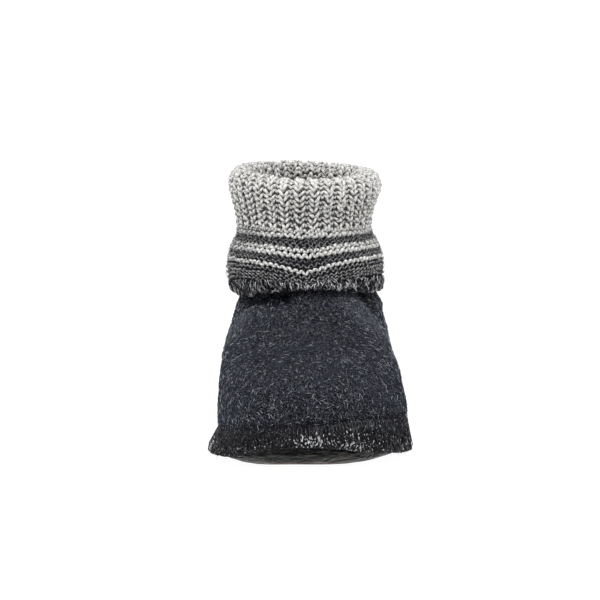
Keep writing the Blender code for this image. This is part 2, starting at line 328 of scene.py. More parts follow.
def join(name: str, parts: Sequence[Object]) -> Object:
    """Join objects into the first of them.

    Args:
        name: Name of the piece that they become.
        parts: Mesh objects, two or more.

    Returns:
        The piece.
    """
    make_active(parts[0])
    for part in parts:
        part.select_set(True)
    bpy.ops.object.join()
    parts[0].name = parts[0].data.name = name
    return parts[0]


def read_field(items: bpy.types.bpy_prop_collection, field: str, kind: type, width: int) -> Array:
    """Read a field of every vertex, edge or loop.

    Args:
        items: The vertices, edges or loops.
        field: Its name.
        kind: Its kind of number.
        width: How many numbers it holds.

    Returns:
        A row of numbers for each of them.
    """
    flat = np.empty(len(items) * width, kind)
    items.foreach_get(field, flat)
    return flat.reshape(-1, width)


def vertex_array(obj: Object) -> Array:
    """An object's vertices as rows of x, y and z."""
    return read_field(obj.data.vertices, "co", np.float64, 3)


def edge_array(obj: Object) -> Array:
    """The numbers of the two vertices of each of an object's edges."""
    return read_field(obj.data.edges, "vertices", np.int32, 2)


def edit_edges(obj: Object, chosen: Array, operator: Callable[..., Any], **settings: Any) -> None:
    """Apply an operator to some of an object's edges in edit mode.

    Args:
        obj: The object.
        chosen: Whether each edge is one of them.
        operator: The operator.
        settings: What it is given.
    """
    make_active(obj)
    bpy.ops.object.mode_set(mode="EDIT")
    bpy.ops.mesh.select_mode(type="EDGE")
    bpy.ops.mesh.select_all(action="DESELECT")
    bpy.ops.object.mode_set(mode="OBJECT")
    obj.data.edges.foreach_set("select", chosen)
    bpy.ops.object.mode_set(mode="EDIT")
    operator(**settings)
    bpy.ops.object.mode_set(mode="OBJECT")


def sleeve(name: str, around: int, rings: int) -> tuple[Object, Array, Array]:
    """An open sleeve to shape: a cylinder primitive whose upright edges are subdivided into rings.

    Args:
        name: Name of the object.
        around: Corners round the sleeve.
        rings: Rings of corners, both ends included.

    Returns:
        The object, and for each vertex its share of the way up and its angle from the toe.
    """
    deselect_all()
    bpy.ops.mesh.primitive_cylinder_add(vertices=around, end_fill_type="NOTHING", location=(0.0, 0.0, 0.0))
    obj = bpy.context.object
    obj.name = name
    heights = vertex_array(obj)[edge_array(obj), 2]
    edit_edges(obj, heights[:, 0] != heights[:, 1], bpy.ops.mesh.subdivide, number_cuts=rings - 2)
    x, y, z = vertex_array(obj).T
    return obj, 0.5 + 0.5 * z, np.arctan2(x, -y) % TURN


def place_vertices(obj: Object, points: Array) -> None:
    """Move an object's vertices to rows of x, y and z."""
    obj.data.vertices.foreach_set("co", np.ascontiguousarray(points, dtype=np.float64).ravel())
    obj.data.update()


def close_centre(obj: Object) -> None:
    """Fill the small rings left open at the middle of the foot, where a sleeve's ends are drawn to points.

    Args:
        obj: The sleeve.
    """
    loop_edges = read_field(obj.data.loops, "edge_index", np.int32, 1)[:, 0]
    open_edges = np.bincount(loop_edges, minlength=len(obj.data.edges)) == 1
    x, y, _ = vertex_array(obj).T
    near = np.hypot(x - FOOT_AXIS_X, y) < OPEN_RING
    edit_edges(obj, open_edges & near[edge_array(obj)].all(axis=1), bpy.ops.mesh.edge_face_add)


def thicken(obj: Object, thickness: float) -> None:
    """Give a sleeve its wall, on its inner side, and close the wall at both edges.

    Args:
        obj: The sleeve.
        thickness: The wall's.
    """
    wall = obj.modifiers.new("Wall", "SOLIDIFY")
    wall.thickness = thickness
    wall.offset = -1.0
    wall.use_even_offset = False
    wall.use_rim = True
    make_active(obj)
    bpy.ops.object.modifier_apply(modifier=wall.name)


def smooth(obj: Object, sharp_degrees: float) -> None:
    """Shade an object smooth, apart from edges sharper than an angle."""
    make_active(obj)
    bpy.ops.object.shade_smooth_by_angle(angle=math.radians(sharp_degrees))


def set_attribute(obj: Object, name: str, values: Array | float) -> None:
    """Store one number a vertex under a name that materials read."""
    data = obj.data.attributes.new(name, "FLOAT", "POINT").data
    data.foreach_set("value", np.broadcast_to(np.asarray(values, np.float32), (len(data),)).copy())


def closed_track(values: Sequence[float], step: Array) -> Array:
    """A smooth track through numbers that repeat.

    Args:
        values: The numbers, evenly apart.
        step: Where it is read, in numbers from the first.

    Returns:
        Its value at each step.
    """
    knots = np.asarray(values, float)
    first = np.floor(step).astype(int)
    return spline(*(knots[(first + k) % len(knots)] for k in (-1, 0, 1, 2)), step - first)


def thread(path: Array, radius: float, swell: Array | float = 1.0) -> Object:
    """A closed thread or yarn: a round-bevelled curve made a mesh, with its length along U.

    Args:
        path: Rows of x, y and z.
        radius: Half the thread's thickness.
        swell: How thick it is at each point, as a share of its usual thickness.

    Returns:
        The mesh object.
    """
    deselect_all()
    bpy.ops.curve.primitive_bezier_circle_add(location=(0.0, 0.0, 0.0))
    curve = bpy.context.object.data
    curve.splines.clear()
    line = curve.splines.new("POLY")
    line.points.add(len(path) - 1)
    line.points.foreach_set("co", np.column_stack([path, np.ones(len(path))]).ravel())
    line.points.foreach_set("radius", np.full(len(path), swell, np.float32))
    line.use_cyclic_u = True
    curve.dimensions = "3D"
    curve.bevel_depth = radius
    curve.bevel_resolution = 1  # a cross-section with six corners
    bpy.ops.object.convert(target="MESH")
    return bpy.context.object


def finish_piece(obj: Object, material: Material) -> None:
    """Dress a piece and set it on the slipper.

    Args:
        obj: The piece.
        material: Its finish.
    """
    obj.data.materials.clear()
    obj.data.materials.append(material)
    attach(obj, "root")
    log.info("%s: %d faces", obj.name, len(obj.data.polygons))


class SubAssembly:
    """Pieces that share a finish. Each kind models its own meshes."""

    slot: str  # name of a material slot

    def model(self) -> list[Object]:
        """Model the pieces."""
        raise NotImplementedError

    def build(self, material: Material) -> None:
        """Model the pieces, dress them and set them on the slipper.

        Args:
            material: Their finish.
        """
        for obj in self.model():
            finish_piece(obj, material)


# ---- Finishes ----


def srgb(code: str) -> tuple[float, float, float, float]:
    """Turn a colour to linear.

    Args:
        code: Its sRGB hex code, such as "#c8c2b6".

    Returns:
        Its linear red, green and blue, and full opacity.
    """
    channels = [int(code[i : i + 2], 16) / 255.0 for i in (1, 3, 5)]
    linear = [c / 12.92 if c <= 0.04045 else ((c + 0.055) / 1.055) ** 2.4 for c in channels]
    return (*linear, 1.0)


class Finish:
    """A material in the making: its nodes, and the Principled shader that they feed."""

    def __init__(self, name: str) -> None:
        """Start a material.

        Args:
            name: Its name.
        """
        self.material = bpy.data.materials.new(name)
        self.material.use_nodes = True
        self.tree = self.material.node_tree

    def fill(self, node: bpy.types.Node, inputs: dict[str | int, Any]) -> None:
        """Fill a node's inputs.

        Args:
            node: The node.
            inputs: A value, a hex colour, or a socket to link, for each input by name or number.
        """
        for name, value in inputs.items():
            if isinstance(value, bpy.types.NodeSocket):
                self.tree.links.new(value, node.inputs[name])
            else:
                node.inputs[name].default_value = srgb(value) if isinstance(value, str) else value

    def add(
        self, kind: str, inputs: dict[str | int, Any], out: str | int = 0, **settings: Any
    ) -> bpy.types.NodeSocket:
        """Add a node.

        Args:
            kind: Its type, without the "ShaderNode" prefix.
            inputs: What its inputs are filled with.
            out: The output to use, by name or number.
            settings: Its properties.

        Returns:
            That output.
        """
        node = self.tree.nodes.new("ShaderNode" + kind)
        for name, value in settings.items():
            setattr(node, name, value)
        self.fill(node, inputs)
        return node.outputs[out]

    def shade(self, inputs: dict[str | int, Any]) -> Material:
        """Fill the shader's inputs, and return the material."""
        self.fill(self.tree.nodes["Principled BSDF"], inputs)
        return self.material


@dataclass(frozen=True)
class BoiledWool:
    """Boiled wool: fibres of several greys and a navy, matted so that no thread shows.

    It is soft and dull. Pale hairs fleck a nearly black ground, its matted tufts shade it finely, and its
    fuzz lightens it a little at a grazing angle. Where the attribute Pressed is 1, below the seam, the seam
    has squashed it, so that it is browner and shows fewer hairs, and painted shade darkens it there too. The
    attribute Rubbed is painted light: above 0 a painted highlight along ridges, below 0 painted shade in
    troughs.
    """

    name: str = "Boiled wool"
    dark: str = "#020203"
    light: str = "#35363c"
    blue: str = "#2b3142"
    # the felt below the seam: browner, and darker with painted shade
    pressed_and_shaded: str = "#151312"
    hair: str = "#a8aab1"
    sheen: str = "#9fb0d8"
    cloud: float = 9.0 * MM  # patches where one grey prevails
    tuft: float = 1.9 * MM  # matted tufts
    fleck: float = 0.56 * MM
    hair_pitch: float = 1.8 * MM  # single hairs are finer than can show, so these stand for bundles of them
    lie: float = 0.62  # its nap lies along the foot, so its flecks are longer that way

    def build(self) -> Material:
        """Make the material.

        Returns:
            The material.
        """
        wool = Finish(self.name)
        place = wool.add("TexCoord", {}, "Object")
        lying = wool.add("Mapping", {"Vector": place, "Scale": (1.0, self.lie, 1.0)})
        pressed_and_shaded = wool.add("Attribute", {}, "Fac", attribute_name="Pressed")
        painted_light = wool.add("Attribute", {}, "Fac", attribute_name="PaintedLight")
        cloud = wool.add(
            "TexNoise", {"Vector": place, "Scale": 1.0 / self.cloud, "Detail": 4.0, "Roughness": 0.6}
        )
        tuft = wool.add(
            "TexNoise",
            {"Vector": lying, "Scale": 1.0 / self.tuft, "Detail": 3.0, "Roughness": 0.65, "Distortion": 1.0},
        )
        fleck = wool.add("TexNoise", {"Vector": lying, "Scale": 1.0 / self.fleck, "Detail": 1.0})
        hair = wool.add(
            "TexNoise", {"Vector": lying, "Scale": 1.0 / self.hair_pitch, "Detail": 1.0, "Distortion": 2.4}
        )
        # painted light: the attribute Rubbed makes ridges paler and bluer, and troughs darker
        clouded_and_lit = wool.add("Math", {0: painted_light, 1: 0.12, 2: cloud}, operation="MULTIPLY_ADD")
        bluish = wool.add("MapRange", {"Value": clouded_and_lit, "From Min": 0.44, "From Max": 0.66, "To Max": 0.25})
        matted = wool.add("Math", {0: fleck, 1: 2.6, 2: tuft}, operation="MULTIPLY_ADD")
        matted_and_lit = wool.add("Math", {0: painted_light, 1: 0.16, 2: matted}, operation="MULTIPLY_ADD")
        lightness = wool.add("MapRange", {"Value": matted_and_lit, "From Min": 1.59, "From Max": 2.22})
        grey = wool.add("Mix", {0: lightness, 6: self.dark, 7: self.light}, 2, data_type="RGBA")
        ground = wool.add("Mix", {0: bluish, 6: grey, 7: self.blue}, 2, data_type="RGBA")
        # a hair runs wherever the noise crosses its middle value, and only some of them lie on top
        crossing = wool.add("Math", {0: hair, 1: 0.5}, operation="SUBTRACT")
        distance = wool.add("Math", {0: crossing}, operation="ABSOLUTE")
        strand = wool.add(
            "MapRange",
            {"Value": distance, "From Min": 0.006, "From Max": 0.028, "To Min": 1.0, "To Max": 0.0},
        )
        # painted light: ridges also show more pale hairs
        fleck_and_light = wool.add("Math", {0: painted_light, 1: 0.20, 2: fleck}, operation="MULTIPLY_ADD")
        on_top_and_lit = wool.add("MapRange", {"Value": fleck_and_light, "From Min": 0.42, "From Max": 0.64, "To Max": 0.75})
        pale = wool.add("Math", {0: strand, 1: on_top_and_lit}, operation="MULTIPLY")
        flecked = wool.add("Mix", {0: pale, 6: ground, 7: self.hair}, 2, data_type="RGBA")
        # below the seam: squashed browner felt, also darkened with painted shade
        below_seam_mix = wool.add("Math", {0: pressed_and_shaded, 1: 0.6}, operation="MULTIPLY")
        colour = wool.add("Mix", {0: below_seam_mix, 6: flecked, 7: self.pressed_and_shaded}, 2, data_type="RGBA")
        relief = wool.add("Math", {0: fleck, 1: 1.1, 2: tuft}, operation="MULTIPLY_ADD")
        bump = wool.add("Bump", {"Height": relief, "Strength": 0.9, "Distance": 0.75 * MM})
        return wool.shade({
            "Base Color": colour, "Normal": bump, "Roughness": 0.95, "Specular IOR Level": 0.0,
            "Sheen Weight": 0.04, "Sheen Roughness": 0.4, "Sheen Tint": self.sheen,
        })


@dataclass(frozen=True)
class MarledYarn:
    """Marled wool yarn: a charcoal ply twisted with cream ones, so that it shows in flecks along the yarn.

    The attribute Shade says how much of a course is cream, lowered by painted shade towards the cuff's sides;
    on the backing behind the loops it carries painted shade alone. Marl says how much that share changes
    along the yarn. The plies make slanting grooves along it.
    """

    name: str = "Marled wool yarn"
    cream: str = "#efeeeb"
    charcoal: str = "#11131e"
    ply_pitch: float = 3.0 * MM
    course_length: float = 0.62  # yarn in one course, which U divides
    fleck: float = 1.6 * MM

    def build(self) -> Material:
        """Make the material.

        Returns:
            The material.
        """
        yarn = Finish(self.name)
        place = yarn.add("TexCoord", {}, "Object")
        along = yarn.add("SeparateXYZ", {0: place.node.outputs["UV"]}, "X")
        around = along.node.outputs["Y"]
        shade = yarn.add("Attribute", {}, "Fac", attribute_name="Shade")
        marl = yarn.add("Attribute", {}, "Fac", attribute_name="Marl")
        plies = self.course_length / self.ply_pitch
        twist = yarn.add("Math", {0: along, 1: plies, 2: around}, operation="MULTIPLY_ADD")
        turned = yarn.add("Math", {0: twist, 1: TURN}, operation="MULTIPLY")
        ply = yarn.add("Math", {0: turned}, operation="SINE")
        groove = yarn.add("Math", {0: ply}, operation="ABSOLUTE")
        fleck = yarn.add(
            "TexNoise", {"Vector": place, "Scale": 1.0 / self.fleck, "Detail": 3.0, "Roughness": 0.8}
        )
        mixed = yarn.add("Math", {0: ply, 1: 0.20, 2: fleck}, operation="MULTIPLY_ADD")
        # lowest where the charcoal ply lies on top
        spread = yarn.add(
            "MapRange", {"Value": mixed, "From Min": 0.32, "From Max": 0.68, "To Min": -0.6, "To Max": 0.6}
        )
        share = yarn.add("Math", {0: spread, 1: marl, 2: shade}, operation="MULTIPLY_ADD", use_clamp=True)
        colour = yarn.add("Mix", {0: share, 6: self.charcoal, 7: self.cream}, 2, data_type="RGBA")
        height = yarn.add("Math", {0: groove, 1: 0.6, 2: fleck}, operation="MULTIPLY_ADD")
        bump = yarn.add("Bump", {"Height": height, "Strength": 0.8, "Distance": 0.35 * MM})
        return yarn.shade(
            {"Base Color": colour, "Normal": bump, "Roughness": 0.9, "Specular IOR Level": 0.06}
        )


@dataclass(frozen=True)
class LooseFibre:
    """Loose wool fibres: single dull hairs whose lightness the attribute Shade gives."""

    name: str
    dark: str
    light: str

    def build(self) -> Material:
        """Make the material.

        Returns:
            The material.
        """
        fibre = Finish(self.name)
        shade = fibre.add("Attribute", {}, "Fac", attribute_name="Shade")
        colour = fibre.add("Mix", {0: shade, 6: self.dark, 7: self.light}, 2, data_type="RGBA")
        return fibre.shade({"Base Color": colour, "Roughness": 0.8, "Specular IOR Level": 0.1})


@dataclass(frozen=True)
class OverlockThread:
    """Overlocking thread: black polyester, a little glossy, flecked grey with painted sheen, and with painted
    glints.

    The attribute Bulked says where the painted glints gather, and Paled how much painted sheen greys the
    thread.
    """

    name: str = "Black polyester thread"
    colour: str = "#060608"
    # grey of the painted sheen flecks
    sheen_grey: str = "#5c5c60"
    # painted glints: highlights painted pale on the thread
    glint: str = "#cfd0d4"
    fleck: float = 1.25 * MM

    def build(self) -> Material:
        """Make the material.

        Returns:
            The material.
        """
        yarn = Finish(self.name)
        place = yarn.add("TexCoord", {}, "Object")
        painted_glint = yarn.add("Attribute", {}, "Fac", attribute_name="PaintedGlint")
        painted_sheen = yarn.add("Attribute", {}, "Fac", attribute_name="PaintedSheen")
        fleck = yarn.add("TexNoise", {"Vector": place, "Scale": 1.0 / self.fleck, "Detail": 1.0})
        # painted glints where the attribute Bulked and the noise are high
        glint_chance = yarn.add("Math", {0: painted_glint, 1: 0.22, 2: fleck}, operation="MULTIPLY_ADD")
        share = yarn.add("MapRange", {"Value": glint_chance, "From Min": 0.69, "From Max": 0.78})
        # painted sheen: the attribute Paled greys the needle thread
        either = yarn.add("Math", {0: share, 1: painted_sheen}, operation="MAXIMUM")
        # painted sheen: grey flecks stand in for the thread's specular
        sheen_fleck = yarn.add("MapRange", {"Value": fleck, "From Min": 0.54, "From Max": 0.64})
        sheen_flecked = yarn.add("Mix", {0: sheen_fleck, 6: self.colour, 7: self.sheen_grey}, 2, data_type="RGBA")
        colour = yarn.add("Mix", {0: either, 6: sheen_flecked, 7: self.glint}, 2, data_type="RGBA")
        return yarn.shade({"Base Color": colour, "Roughness": 0.24, "Specular IOR Level": 0.3})


@dataclass(frozen=True)
class SoleLeather:
    """Soft black leather, drum-dyed: a fine grain, and a dull gloss that its creases break up.

    Where the attribute Split is 1 its rough brown side shows, as it does underneath.
    """

    name: str = "Black nappa leather"
    colour: str = "#050404"
    # lighter, browner colour of the crease relief's raised crests
    crest_colour: str = "#45403b"
    split: str = "#3b281a"
    grain: float = 0.9 * MM
    crease: float = 15.0 * MM
    closer: float = 4.0  # the wall's wrinkles run along it, so they are closer together up it

    def build(self) -> Material:
        """Make the material.

        Returns:
            The material.
        """
        leather = Finish(self.name)
        place = leather.add("TexCoord", {}, "Object")
        split = leather.add("Attribute", {}, "Fac", attribute_name="Split")
        grain = leather.add("TexVoronoi", {"Vector": place, "Scale": 1.0 / self.grain}, "Distance")
        upright = leather.add("Mapping", {"Vector": place, "Scale": (1.0, 1.0, self.closer)})
        crease = leather.add(
            "TexNoise", {"Vector": upright, "Scale": 1.0 / self.crease, "Detail": 3.0, "Distortion": 1.8}
        )
        # lighter and browner where the crease relief stands highest
        crest_share = leather.add("MapRange", {"Value": crease, "From Min": 0.52, "From Max": 0.68, "To Max": 0.8})
        dyed = leather.add("Mix", {0: crest_share, 6: self.colour, 7: self.crest_colour}, 2, data_type="RGBA")
        colour = leather.add("Mix", {0: split, 6: dyed, 7: self.split}, 2, data_type="RGBA")
        dull = leather.add(
            "MapRange", {"Value": crease, "From Min": 0.35, "From Max": 0.65, "To Min": 0.22, "To Max": 0.50}
        )
        relief = leather.add("Math", {0: crease, 1: 14.0, 2: grain}, operation="MULTIPLY_ADD")
        bump = leather.add("Bump", {"Height": relief, "Strength": 1.0, "Distance": 0.7 * MM})
        return leather.shade(
            {"Base Color": colour, "Roughness": dull, "Specular IOR Level": 0.15, "Normal": bump}
        )


@dataclass(frozen=True)
class InsoleFelt:
    """Pressed wool felt, grey and fine, as on the inside of a hut slipper."""

    name: str = "Pressed wool felt"
    dark: str = "#55534f"
    light: str = "#8a877f"
    tuft: float = 1.6 * MM

    def build(self) -> Material:
        """Make the material.

        Returns:
            The material.
        """
        felt = Finish(self.name)
        place = felt.add("TexCoord", {}, "Object")
        tuft = felt.add(
            "TexNoise", {"Vector": place, "Scale": 1.0 / self.tuft, "Detail": 5.0, "Roughness": 0.6}
        )
        colour = felt.add("Mix", {0: tuft, 6: self.dark, 7: self.light}, 2, data_type="RGBA")
        bump = felt.add("Bump", {"Height": tuft, "Strength": 0.6, "Distance": 0.6 * MM})
        return felt.shade({"Base Color": colour, "Normal": bump, "Roughness": 0.95, "Sheen Weight": 0.2})


# ---- Upper ----


class Crease(NamedTuple):
    """A soft trough, or a ridge where its depth is negative, between two points near the felt."""

    start: Triple
    end: Triple
    width: float
    depth: float
    painted_light_level: float = 0.0  # painted light along it: above 0 a painted highlight on a ridge, below 0 painted shade in a trough

    def strength(self, points: Array) -> Array:
        """How strong it is at points near the felt.

        Args:
            points: The points.

        Returns:
            1 on the line between its ends, fading out with the distance of each point from it.
        """
        run = np.array(self.end) - self.start
        share = unit((points - self.start) @ run / (run @ run))
        return hump(np.linalg.norm(points - self.start - share[..., None] * run, axis=-1), 0.0, self.width)


@dataclass(frozen=True)
class FeltUpper(SubAssembly):
    """The boiled-wool upper, a single wall open at the collar and underneath."""

    slot: str = "boiled_wool"
    around: int = 224  # corners round it
    rings: int = 90  # rings of corners from hem to collar
    crowding: float = 1.15  # how much closer together they lie at the hem: 1 is evenly
    wall: float = 3.0 * MM
    lump: float = 0.7 * MM  # height of its uneven lumps
    lump_scales: tuple[float, float] = (70.0, 190.0)  # broad and small lumps in a metre
    # the hem's ripples: how high, how many, and the angle by which they are turned
    ripples: tuple[Triple, ...] = ((0.6 * MM, 9.0, 0.7), (0.4 * MM, 17.0, 2.1))
    seam_place: float = 1.04  # where the overlocking pulls the felt in, on the upper's wall
    seam_rise: float = 0.62  # how much higher it runs round the lateral corner of the toe
    rise_from: tuple[float, float] = (0.05, 0.6)  # angle where it begins to rise, and over how wide an angle
    rise_to: tuple[float, float] = (0.9, 0.8)  # angle where it begins to sink again, likewise
    seam_depth: float = 1.3 * MM  # how far it pulls it in
    seam_width: float = 0.10  # half the groove's width, in places
    # how far below the seam the squashed felt and its painted shade begin to recover, and over how far, in
    # places
    pressed_and_shaded: tuple[float, float] = (0.1, 0.5)
    settled: float = 0.5 * MM  # how far the worn felt has sunk inside its first outline
    toe_ride: float = 1.9 * MM  # how far its edge rides up over the leather at the toe
    ride_at: tuple[float, float] = (0.15, 0.42)  # angle of the middle of that, and how far it reaches
    corner_drop: float = 1.6 * MM  # how far it hangs lower at the medial corner of the toe
    drop_at: tuple[float, float] = (-0.62, 0.17)  # likewise
    covered: float = 2.2  # how far below the collar its lumps begin to fade, as the cuff hides it, in places
    creases: tuple[Crease, ...] = (
        # below the cuff, where the ankle's slack felt folds towards the sides
        # their last numbers are painted light: above 0 a highlight on a ridge, below 0 shade in a trough
        Crease((-0.046, -0.020, 0.044), (-0.032, 0.004, 0.070), 0.007, 0.0014),
        Crease((-0.036, -0.004, 0.066), (-0.043, -0.018, 0.052), 0.009, -0.0010, 1.1),
        # painted shadow under the cuff's edge
        Crease((-0.034, 0.004, 0.073), (-0.014, -0.012, 0.0775), 0.005, 0.0026, -0.9),
        Crease((0.021, -0.004, 0.077), (0.041, -0.013, 0.057), 0.009, -0.0008, 1.4),
        Crease((0.0265, 0.0105, 0.0785), (0.0330, 0.002, 0.070), 0.005, 0.0019, -0.4),
        Crease((0.034, 0.034, 0.079), (0.037, 0.033, 0.068), 0.009, -0.0018, 0.5),
        # across the instep, where the foot bends
        Crease((-0.026, -0.046, 0.057), (0.018, -0.050, 0.058), 0.007, 0.0010),
        Crease((-0.020, -0.074, 0.052), (0.030, -0.066, 0.051), 0.009, 0.0009),
        # along the sides and behind, where the slipper has been folded flat
        Crease((-0.043, 0.030, 0.030), (-0.040, 0.080, 0.040), 0.010, 0.0014),
        Crease((0.045, 0.026, 0.034), (0.038, 0.076, 0.028), 0.010, 0.0014),
        Crease((-0.020, 0.124, 0.052), (0.016, 0.124, 0.050), 0.008, 0.0014),
    )

    def shape(self, place: Array, angle: Array) -> Array:
        """Points of the felt's outer face, with its seam, creases and lumps.

        Args:
            place: Places on the upper's wall.
            angle: Angles round it.

        Returns:
            The points, with x, y and z along the last axis.
        """
        base = UPPER_WALL.points(place, angle)
        hem = unit(1.0 - place)
        offset = -self.seam_depth * hump(place, self.seam_at(angle), self.seam_width) - self.settled
        offset = offset - sum(crease.depth * crease.strength(base) for crease in self.creases)
        offset = offset + hem * sum(high * np.sin(n * angle + turn) for high, n, turn in self.ripples)
        broad, small = self.lump_scales
        lumps = [
            noise.noise(Vector(p) * broad) + 0.5 * noise.noise(Vector(p) * small + Vector((3, 1, 4)))
            for p in base.reshape(-1, 3)
        ]
        under_cuff = smoothstep(place - (UPPER_WALL.last - self.covered))
        offset = offset + self.lump * np.array(lumps).reshape(place.shape) * (1.0 - under_cuff)
        points = base + UPPER_WALL.normals(place, angle) * offset[..., None]
        turned = from_toe(angle)
        ride = self.toe_ride * hump(turned, *self.ride_at)
        points[..., 2] += hem * (ride - self.corner_drop * hump(turned, *self.drop_at))
        return points

    def seam_at(self, angle: Array) -> Array:
        """Place of the seam, which rises round the lateral corner of the toe.

        Args:
            angle: Angles round the hem.

        Returns:
            Its place at each.
        """
        risen, sunk = (
            smoothstep((from_toe(angle) - start) / reach) for start, reach in (self.rise_from, self.rise_to)
        )
        return self.seam_place + self.seam_rise * risen * (1.0 - sunk)

    def model(self) -> list[Object]:
        """Model the upper.

        Returns:
            The piece.
        """
        obj, share, angle = sleeve("felt_upper", self.around, self.rings)
        place = UPPER_WALL.last * share**self.crowding
        place_vertices(obj, self.shape(place, angle))
        base = UPPER_WALL.points(place, angle)
        below, reach = self.pressed_and_shaded
        # below the seam: squashed felt, and painted shade
        set_attribute(obj, "Pressed", 1.0 - smoothstep((place - self.seam_at(angle) + below) / reach))
        # painted light and shade along the creases
        set_attribute(obj, "PaintedLight", sum(crease.painted_light_level * crease.strength(base) for crease in self.creases))
        thicken(obj, self.wall)
        smooth(obj, sharp_degrees=80.0)
        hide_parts("upper")
        return [obj]


# ---- Cuff ----


class Stitch(Enum):
    """How the loops of a course turn."""

    RIB = "knit and purl by turns"
    PURL = "purl throughout"


class Course(NamedTuple):
    """One row of knitting. Places are on the cuff's wall, and angles in degrees."""

    side: float  # place at the sides and behind
    front: float  # place at the middle of the front
    reach: float  # angle from the front over which it dips
    bend: float  # angle over which the dip's tip is rounded
    shade: float = 0.0  # share of cream in its yarn
    marl: float = 0.0  # how much that share changes along the yarn
    full: float = 1.0  # thickness of its yarn, as a share of the usual
    wave: float = 1.0  # height of its loops, likewise

    def place_at(self, angle: Array) -> Array:
        """Its place at each angle round the ankle."""
        turned = np.hypot(np.degrees(from_toe(angle)), self.bend) - self.bend
        return self.side + (self.front - self.side) * unit(1.0 - turned / self.reach) ** DIP_POWER


class Turn(NamedTuple):
    """A point on the path of a stitch: from its course's middle, and in millimetres."""

    across: float  # share of the stitch's width
    height: float
    out: float
    swell: float  # thickness of the yarn, as a share of its usual one


# A knit stitch, whose two legs make a V that tucks in at its foot, and the purled head beside it, which lies
# further back. The yarn is fullest at the middle of a leg.
RIB_TURNS = (
    Turn(0.000, 1.55, -0.60, 0.70),
    Turn(0.070, 1.05, 0.32, 0.98),
    Turn(0.165, 0.10, 0.76, 1.16),
    Turn(0.265, -1.00, 0.46, 1.04),
    Turn(0.345, -1.80, -0.80, 0.66),
    Turn(0.425, -1.00, 0.46, 1.04),
    Turn(0.525, 0.10, 0.76, 1.16),
    Turn(0.620, 1.05, 0.32, 0.98),
    Turn(0.690, 1.55, -0.60, 0.70),
    Turn(0.770, 0.80, -0.66, 0.90),
    Turn(0.845, 0.40, -0.52, 1.02),
    Turn(0.920, 0.80, -0.66, 0.90),
)

# A purled stitch: its head stands out above, and its feet turn in beneath its neighbours' heads.
PURL_TURNS = (
    Turn(0.00, 0.56, 0.46, 1.08),
    Turn(0.17, 0.32, 0.26, 1.04),
    Turn(0.33, -0.44, -0.34, 0.92),
    Turn(0.50, -0.68, -0.24, 0.94),
    Turn(0.67, -0.44, -0.34, 0.92),
    Turn(0.83, 0.32, 0.26, 1.04),
)


